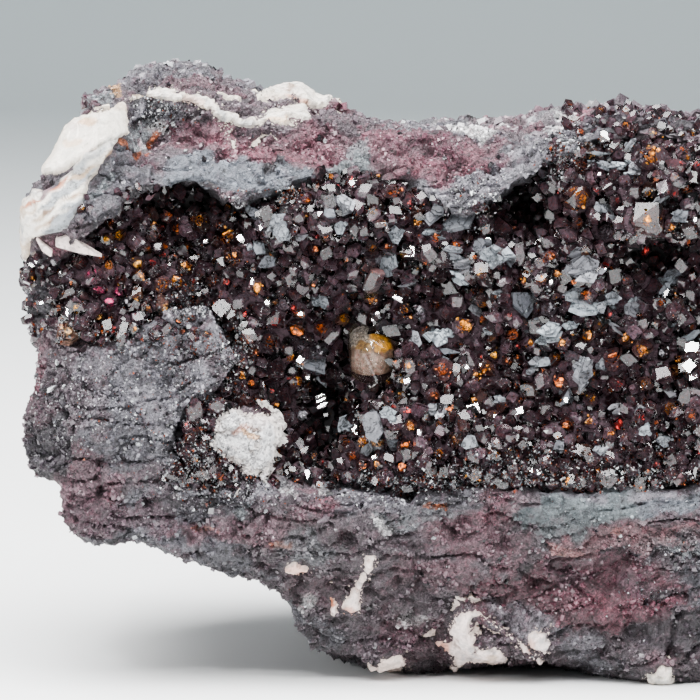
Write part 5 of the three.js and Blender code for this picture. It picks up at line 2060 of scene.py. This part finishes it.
@dataclass
class Grains:
    """The sugar of small crystals and broken grains that covers the block."""

    rock: HostRock
    druse: Druse
    seed: int = 12
    tree: BVHTree = field(init=False)

    def __post_init__(self) -> None:
        """Joins the surfaces that small things lie on."""
        self.tree = tree_of(self.druse.ground, self.rock.mesh, self.druse.crystals)

    def share(self, across: Rows, up: Rows) -> Rows:
        """How grainy each place on the front is, from 0 to 1."""
        total = np.zeros(len(across))
        for zone in GRAINY_ZONES:
            total = np.maximum(total, zone.mask(across, up) * zone.share)
        return total

    @staticmethod
    def tint(dice: random.Random, own: Sequence[float], grainy: float) -> Colour:
        """Chooses one grain's colour.

        Args:
            dice: random numbers.
            own: the rock's colour there, with its painted shade and light.
            grainy: how sugary it is there, from 0 to 1.

        Returns:
            The colour.
        """
        roll = dice.random()
        if roll < 0.24 * grainy + 0.006:
            return dimmed(colour("e2e5e9"), 0.2 + 0.8 * dice.random() ** 1.5)
        if roll < 0.6 * grainy + 0.06:
            return dimmed(colour("1b181d"), dice.uniform(0.3, 1.4))
        return dimmed(own, dice.uniform(0.4, 1))

    def heap(
        self,
        name: str,
        shape: Callable[[random.Random], Mould],
        count: int,
        sizes: tuple[float, float],
        weight: Rows,
    ) -> Mesh:
        """Makes one heap of grains on the rock.

        Args:
            name: its name.
            shape: makes a mould.
            count: how many grains.
            sizes: smallest and largest, in mm.
            weight: how much each of the rock's points draws them.

        Returns:
            The mesh.
        """
        dice = random.Random(self.seed)
        moulds = [shape(dice) for _ in range(8)]
        heap = Heap()
        throw = Throw.over(self.rock.mesh, count, self.seed, weight)
        seen = SIGHT.places(throw.points)
        grainy = self.share(seen[:, 0], seen[:, 1])
        for point, way, corner, much in zip(throw.points, throw.facing, throw.corner, grainy):
            size = (sizes[0] + (sizes[1] - sizes[0]) * dice.random() ** 2) * MM
            axis = (Vector(way) + shaken(dice, 0.7)).normalized()
            scale = (size * dice.uniform(0.7, 1.3), size, size * dice.uniform(0.5, 1))
            place = stood(Vector(point) + Vector(way) * size * 0.1, axis, dice.uniform(0, 6), scale)
            heap.put(dice.choice(moulds), place, self.tint(dice, self.rock.tint[corner], much))
        return heap.mesh(name)

    def sparkles(self) -> Mesh:
        """Makes the small bright splinters along the rim of the vug, and the finer ones on its crystals."""
        dice = random.Random(self.seed + 5)
        moulds = [chip(dice) for _ in range(8)]
        heap = Heap()
        spots = []
        for zone in GRAINY_ZONES + SPARKLE_ZONES:
            for _ in range(int(zone.wide * zone.high * 110 * zone.share)):
                x = dice.gauss(zone.x, zone.wide * 0.55)
                spots.append((x, dice.gauss(zone.z, zone.high * 0.55), 0.2))
        everywhere = SIGHT.places(Throw.over(self.druse.ground, 13000, self.seed).points)
        spots.extend((x, z, 0.07) for x, z in everywhere)
        for at, way, (reach,) in SIGHT.hits(self.tree, spots):
            # No sparkles in the shaded pockets, which keep their painted shade.
            if self.druse.pocket_shade(at) > 0.5:
                continue
            axis = (way + SIGHT.backwards * 0.6 + shaken(dice, 0.6)).normalized()
            size = (0.07 + reach * dice.random() ** 1.6) * MM
            roll = dice.random()
            tint = mixed(colour("141216"), colour("8a8f96"), dice.random() ** 2)
            if roll < 0.18:
                tint = dimmed(colour("eceef0"), dice.uniform(0.5, 1))
            elif roll < 0.4:
                tint = mixed(colour("4a1c16"), colour("a04a14"), dice.random() ** 2)
            scale = (size, size * dice.uniform(0.5, 1), size * dice.uniform(0.8, 2))
            heap.put(dice.choice(moulds), stood(at, axis, dice.uniform(0, 6), scale), tint)
        return heap.mesh("vug_sparkles")

    def blades(self) -> Mesh:
        """Makes the thin white blades at the left end of the vug."""
        mesh = bmesh.new()
        for outline in (BLADE, BLADE_CHIP):
            x = sum(p[0] for p in outline) / len(outline)
            z = sum(p[1] for p in outline) / len(outline)
            seen = SIGHT.look(self.tree, x, z)
            ahead = (seen[0] - SIGHT.eye).dot(-SIGHT.backwards) - 0.9 * MM
            share = ahead / SIGHT.distance
            verts = [mesh.verts.new(SIGHT.eye + (SIGHT.point(*p) - SIGHT.eye) * share) for p in outline]
            face = mesh.faces.new(verts)
            back = bmesh.ops.extrude_face_region(mesh, geom=[face])["geom"]
            moved = [g for g in back if isinstance(g, BMVert)]
            away = -SIGHT.backwards * 0.7 * MM + Vector((0, 0, 0.25 * MM))
            bmesh.ops.translate(mesh, verts=moved, vec=away)
        rounded(mesh, mesh.edges[:], 0.06 * MM)
        bmesh.ops.recalc_face_normals(mesh, faces=mesh.faces[:])
        blades = closed(mesh, "barite_blades")
        tint = np.tile((*Hue.BLUSH.rgb, 0.7), (len(blades.vertices), 1))
        coloured(blades, "tint", tint)
        return blades

    def build(self, barite: Material) -> list[Object]:
        """Makes the grains, the sparkles and the blades.

        Args:
            barite: the finish of the blades and crumbs.

        Returns:
            The pieces.
        """
        mesh = self.rock.mesh
        points = corners_of(mesh)
        facing = np.zeros(len(points) * 3)
        mesh.vertices.foreach_get("normal", facing)
        facing = facing.reshape(-1, 3)
        seen = SIGHT.places(points)
        own = (points - np.array((BLOCK_LEFT, BLOCK_FRONT, 0))) / MM
        shown = (facing @ np.array(SIGHT.backwards) > -0.1) & (own[:, 0] < FACE_WIDE) & (own[:, 1] < 18)
        crust = self.druse.tree
        clear = np.ones(len(points))
        for i in np.flatnonzero(shown | (own[:, 1] < 26)):
            clear[i] = crust.find_nearest(Vector(points[i]), 0.9 * MM)[0] is None
        calm = self.rock.tint[:, 3]
        bare = np.max([vein.inside(points, facing) for vein in VEINS], axis=0) < -0.1
        clump = 0.15 + 1.3 * ramped(roughness(points, 1.3, 2, 14), -0.2, 0.45)
        sugary = self.share(seen[:, 0], seen[:, 1])
        open_face = shown * clear * bare * (1 - 0.8 * np.clip(calm, 0, 1))
        front = open_face * clump * (0.6 + 0.8 * sugary)
        sugar = open_face * (0.3 * clump + 2.2 * sugary)
        rest = (~shown) * clear * bare * (own[:, 2] > 0.8) * (0.4 + 0.6 * (facing[:, 2] > -0.3))
        finish = GrainFinish().build()
        kinds = (
            ("front_grains", grain, 9000, (0.08, 0.28), front),
            ("front_sugar", chip, 46000, (0.07, 0.24), sugar),
            ("rest_grains", grain, 9000, (0.14, 0.6), rest),
        )
        return [
            *(piece_of(kind[0], self.heap(*kind), finish, "rock") for kind in kinds),
            piece_of("vug_sparkles", self.sparkles(), finish, "quartz"),
            piece_of("barite_blades", self.blades(), barite, "barite"),
            Crumbs(Barite(self.rock)).build(self.tree, barite),
        ]


# ---- the studio ----


@dataclass(frozen=True)
class Softbox:
    """A rectangular studio light: its place from the target and its size, in mm."""

    name: str
    at: Triple
    wide: float
    high: float
    glow: float  # how bright its face is, in watts per square metre and steradian

    def build(self, target: Vector) -> None:
        """Hangs the light, facing the target."""
        data = bpy.data.lights.new(self.name, "AREA")
        data.shape = "RECTANGLE"
        data.size, data.size_y = self.wide * MM, self.high * MM
        data.energy = self.glow * math.pi * self.wide * self.high * MM * MM
        light = placed(self.name, data)
        light.location = target + Vector(self.at) * MM
        light.rotation_euler = (light.location - target).to_track_quat("Z", "Y").to_euler()


GLINT_LAMP = Softbox("glint_lamp", (-120, -300, 300), 30, 40, 200)
SOFT_BOXES = (
    Softbox("top_box", (-40, -60, 360), 480, 340, 19.0),
    Softbox("front_box", (140, -330, 320), 320, 200, 6.5),
    Softbox("left_box", (-330, -180, 190), 150, 200, 4.0),
)


@dataclass
class Studio:
    """The floor with its sweep, the lights and the camera."""

    boxes: tuple[Softbox, ...] = (
        *SOFT_BOXES,
        Softbox("right_glint", (230, -240, 260), 36, 26, 150),
        Softbox("left_glint", (-260, -260, 120), 26, 36, 120),
        GLINT_LAMP,
    )

    def floor(self) -> Object:
        """Makes the floor and the backdrop that it sweeps up into."""
        bm = bmesh.new()
        bmesh.ops.create_grid(bm, x_segments=2, y_segments=40, size=1.0)
        for vert in bm.verts:
            along = (vert.co.y + 1) / 2
            vert.co.x *= 900 * MM
            vert.co.y = (-500 + 1500 * min(along, 0.7) / 0.7) * MM
            vert.co.z = 0.0
            if along > 0.5:
                rise = (along - 0.5) / 0.5
                vert.co.y = (570 + 330 * math.sin(rise * math.pi / 2)) * MM
                vert.co.z = 700 * MM * (1 - math.cos(rise * math.pi / 2))
        mesh = closed(bm, "floor")
        for polygon in mesh.polygons:
            polygon.use_smooth = True
        obj = placed("floor", mesh)
        desk = Desk("floor_paper")
        away = desk.add("SeparateXYZ", {"Vector": desk.place}).outputs["Y"]
        # Painted shade: the paper is painted darker the further back it lies, from near white to grey-blue up
        # the sweep, as the light would fall off.
        shade = desk.mix(desk.ramp(away, 130 * MM, 640 * MM), colour("fafbfb"), colour("bac5c8"))
        desk.set(Base_Color=shade, Roughness=0.7)
        mesh.materials.append(desk.material)
        return obj

    def camera(self) -> None:
        """Sets up the camera where the eye stands."""
        data = bpy.data.cameras.new("camera")
        data.sensor_width = FILM_WIDE
        data.lens = FILM_WIDE * SIGHT.distance / PICTURE_WIDE
        data.clip_start = 10 * MM
        data.clip_end = 5.0
        camera = placed("camera", data)
        camera.location = SIGHT.eye
        camera.rotation_euler = SIGHT.backwards.to_track_quat("Z", "Y").to_euler()
        bpy.context.scene.camera = camera

    def build(self) -> None:
        """Sets up the floor, the lights, the world and the camera."""
        self.floor()
        self.camera()
        for box in self.boxes:
            box.build(SIGHT.target)
        world = bpy.data.worlds.new("studio")
        bpy.context.scene.world = world
        world.use_nodes = True
        background = world.node_tree.nodes["Background"]
        background.inputs["Color"].default_value = (0.80, 0.86, 0.90, 1)
        background.inputs["Strength"].default_value = 0.33


def main() -> None:
    """Builds the specimen and its studio in order."""
    logging.basicConfig(level=logging.INFO, format="%(name)s: %(message)s")
    Studio().build()
    rock = HostRock()
    rock.build()
    bodies = Barite(rock).build()
    druse = Druse(rock)
    druse.build()
    Grains(rock, druse).build(bodies[0].data.materials[0])
    rock.base.free()


if __name__ == "__main__":
    main()
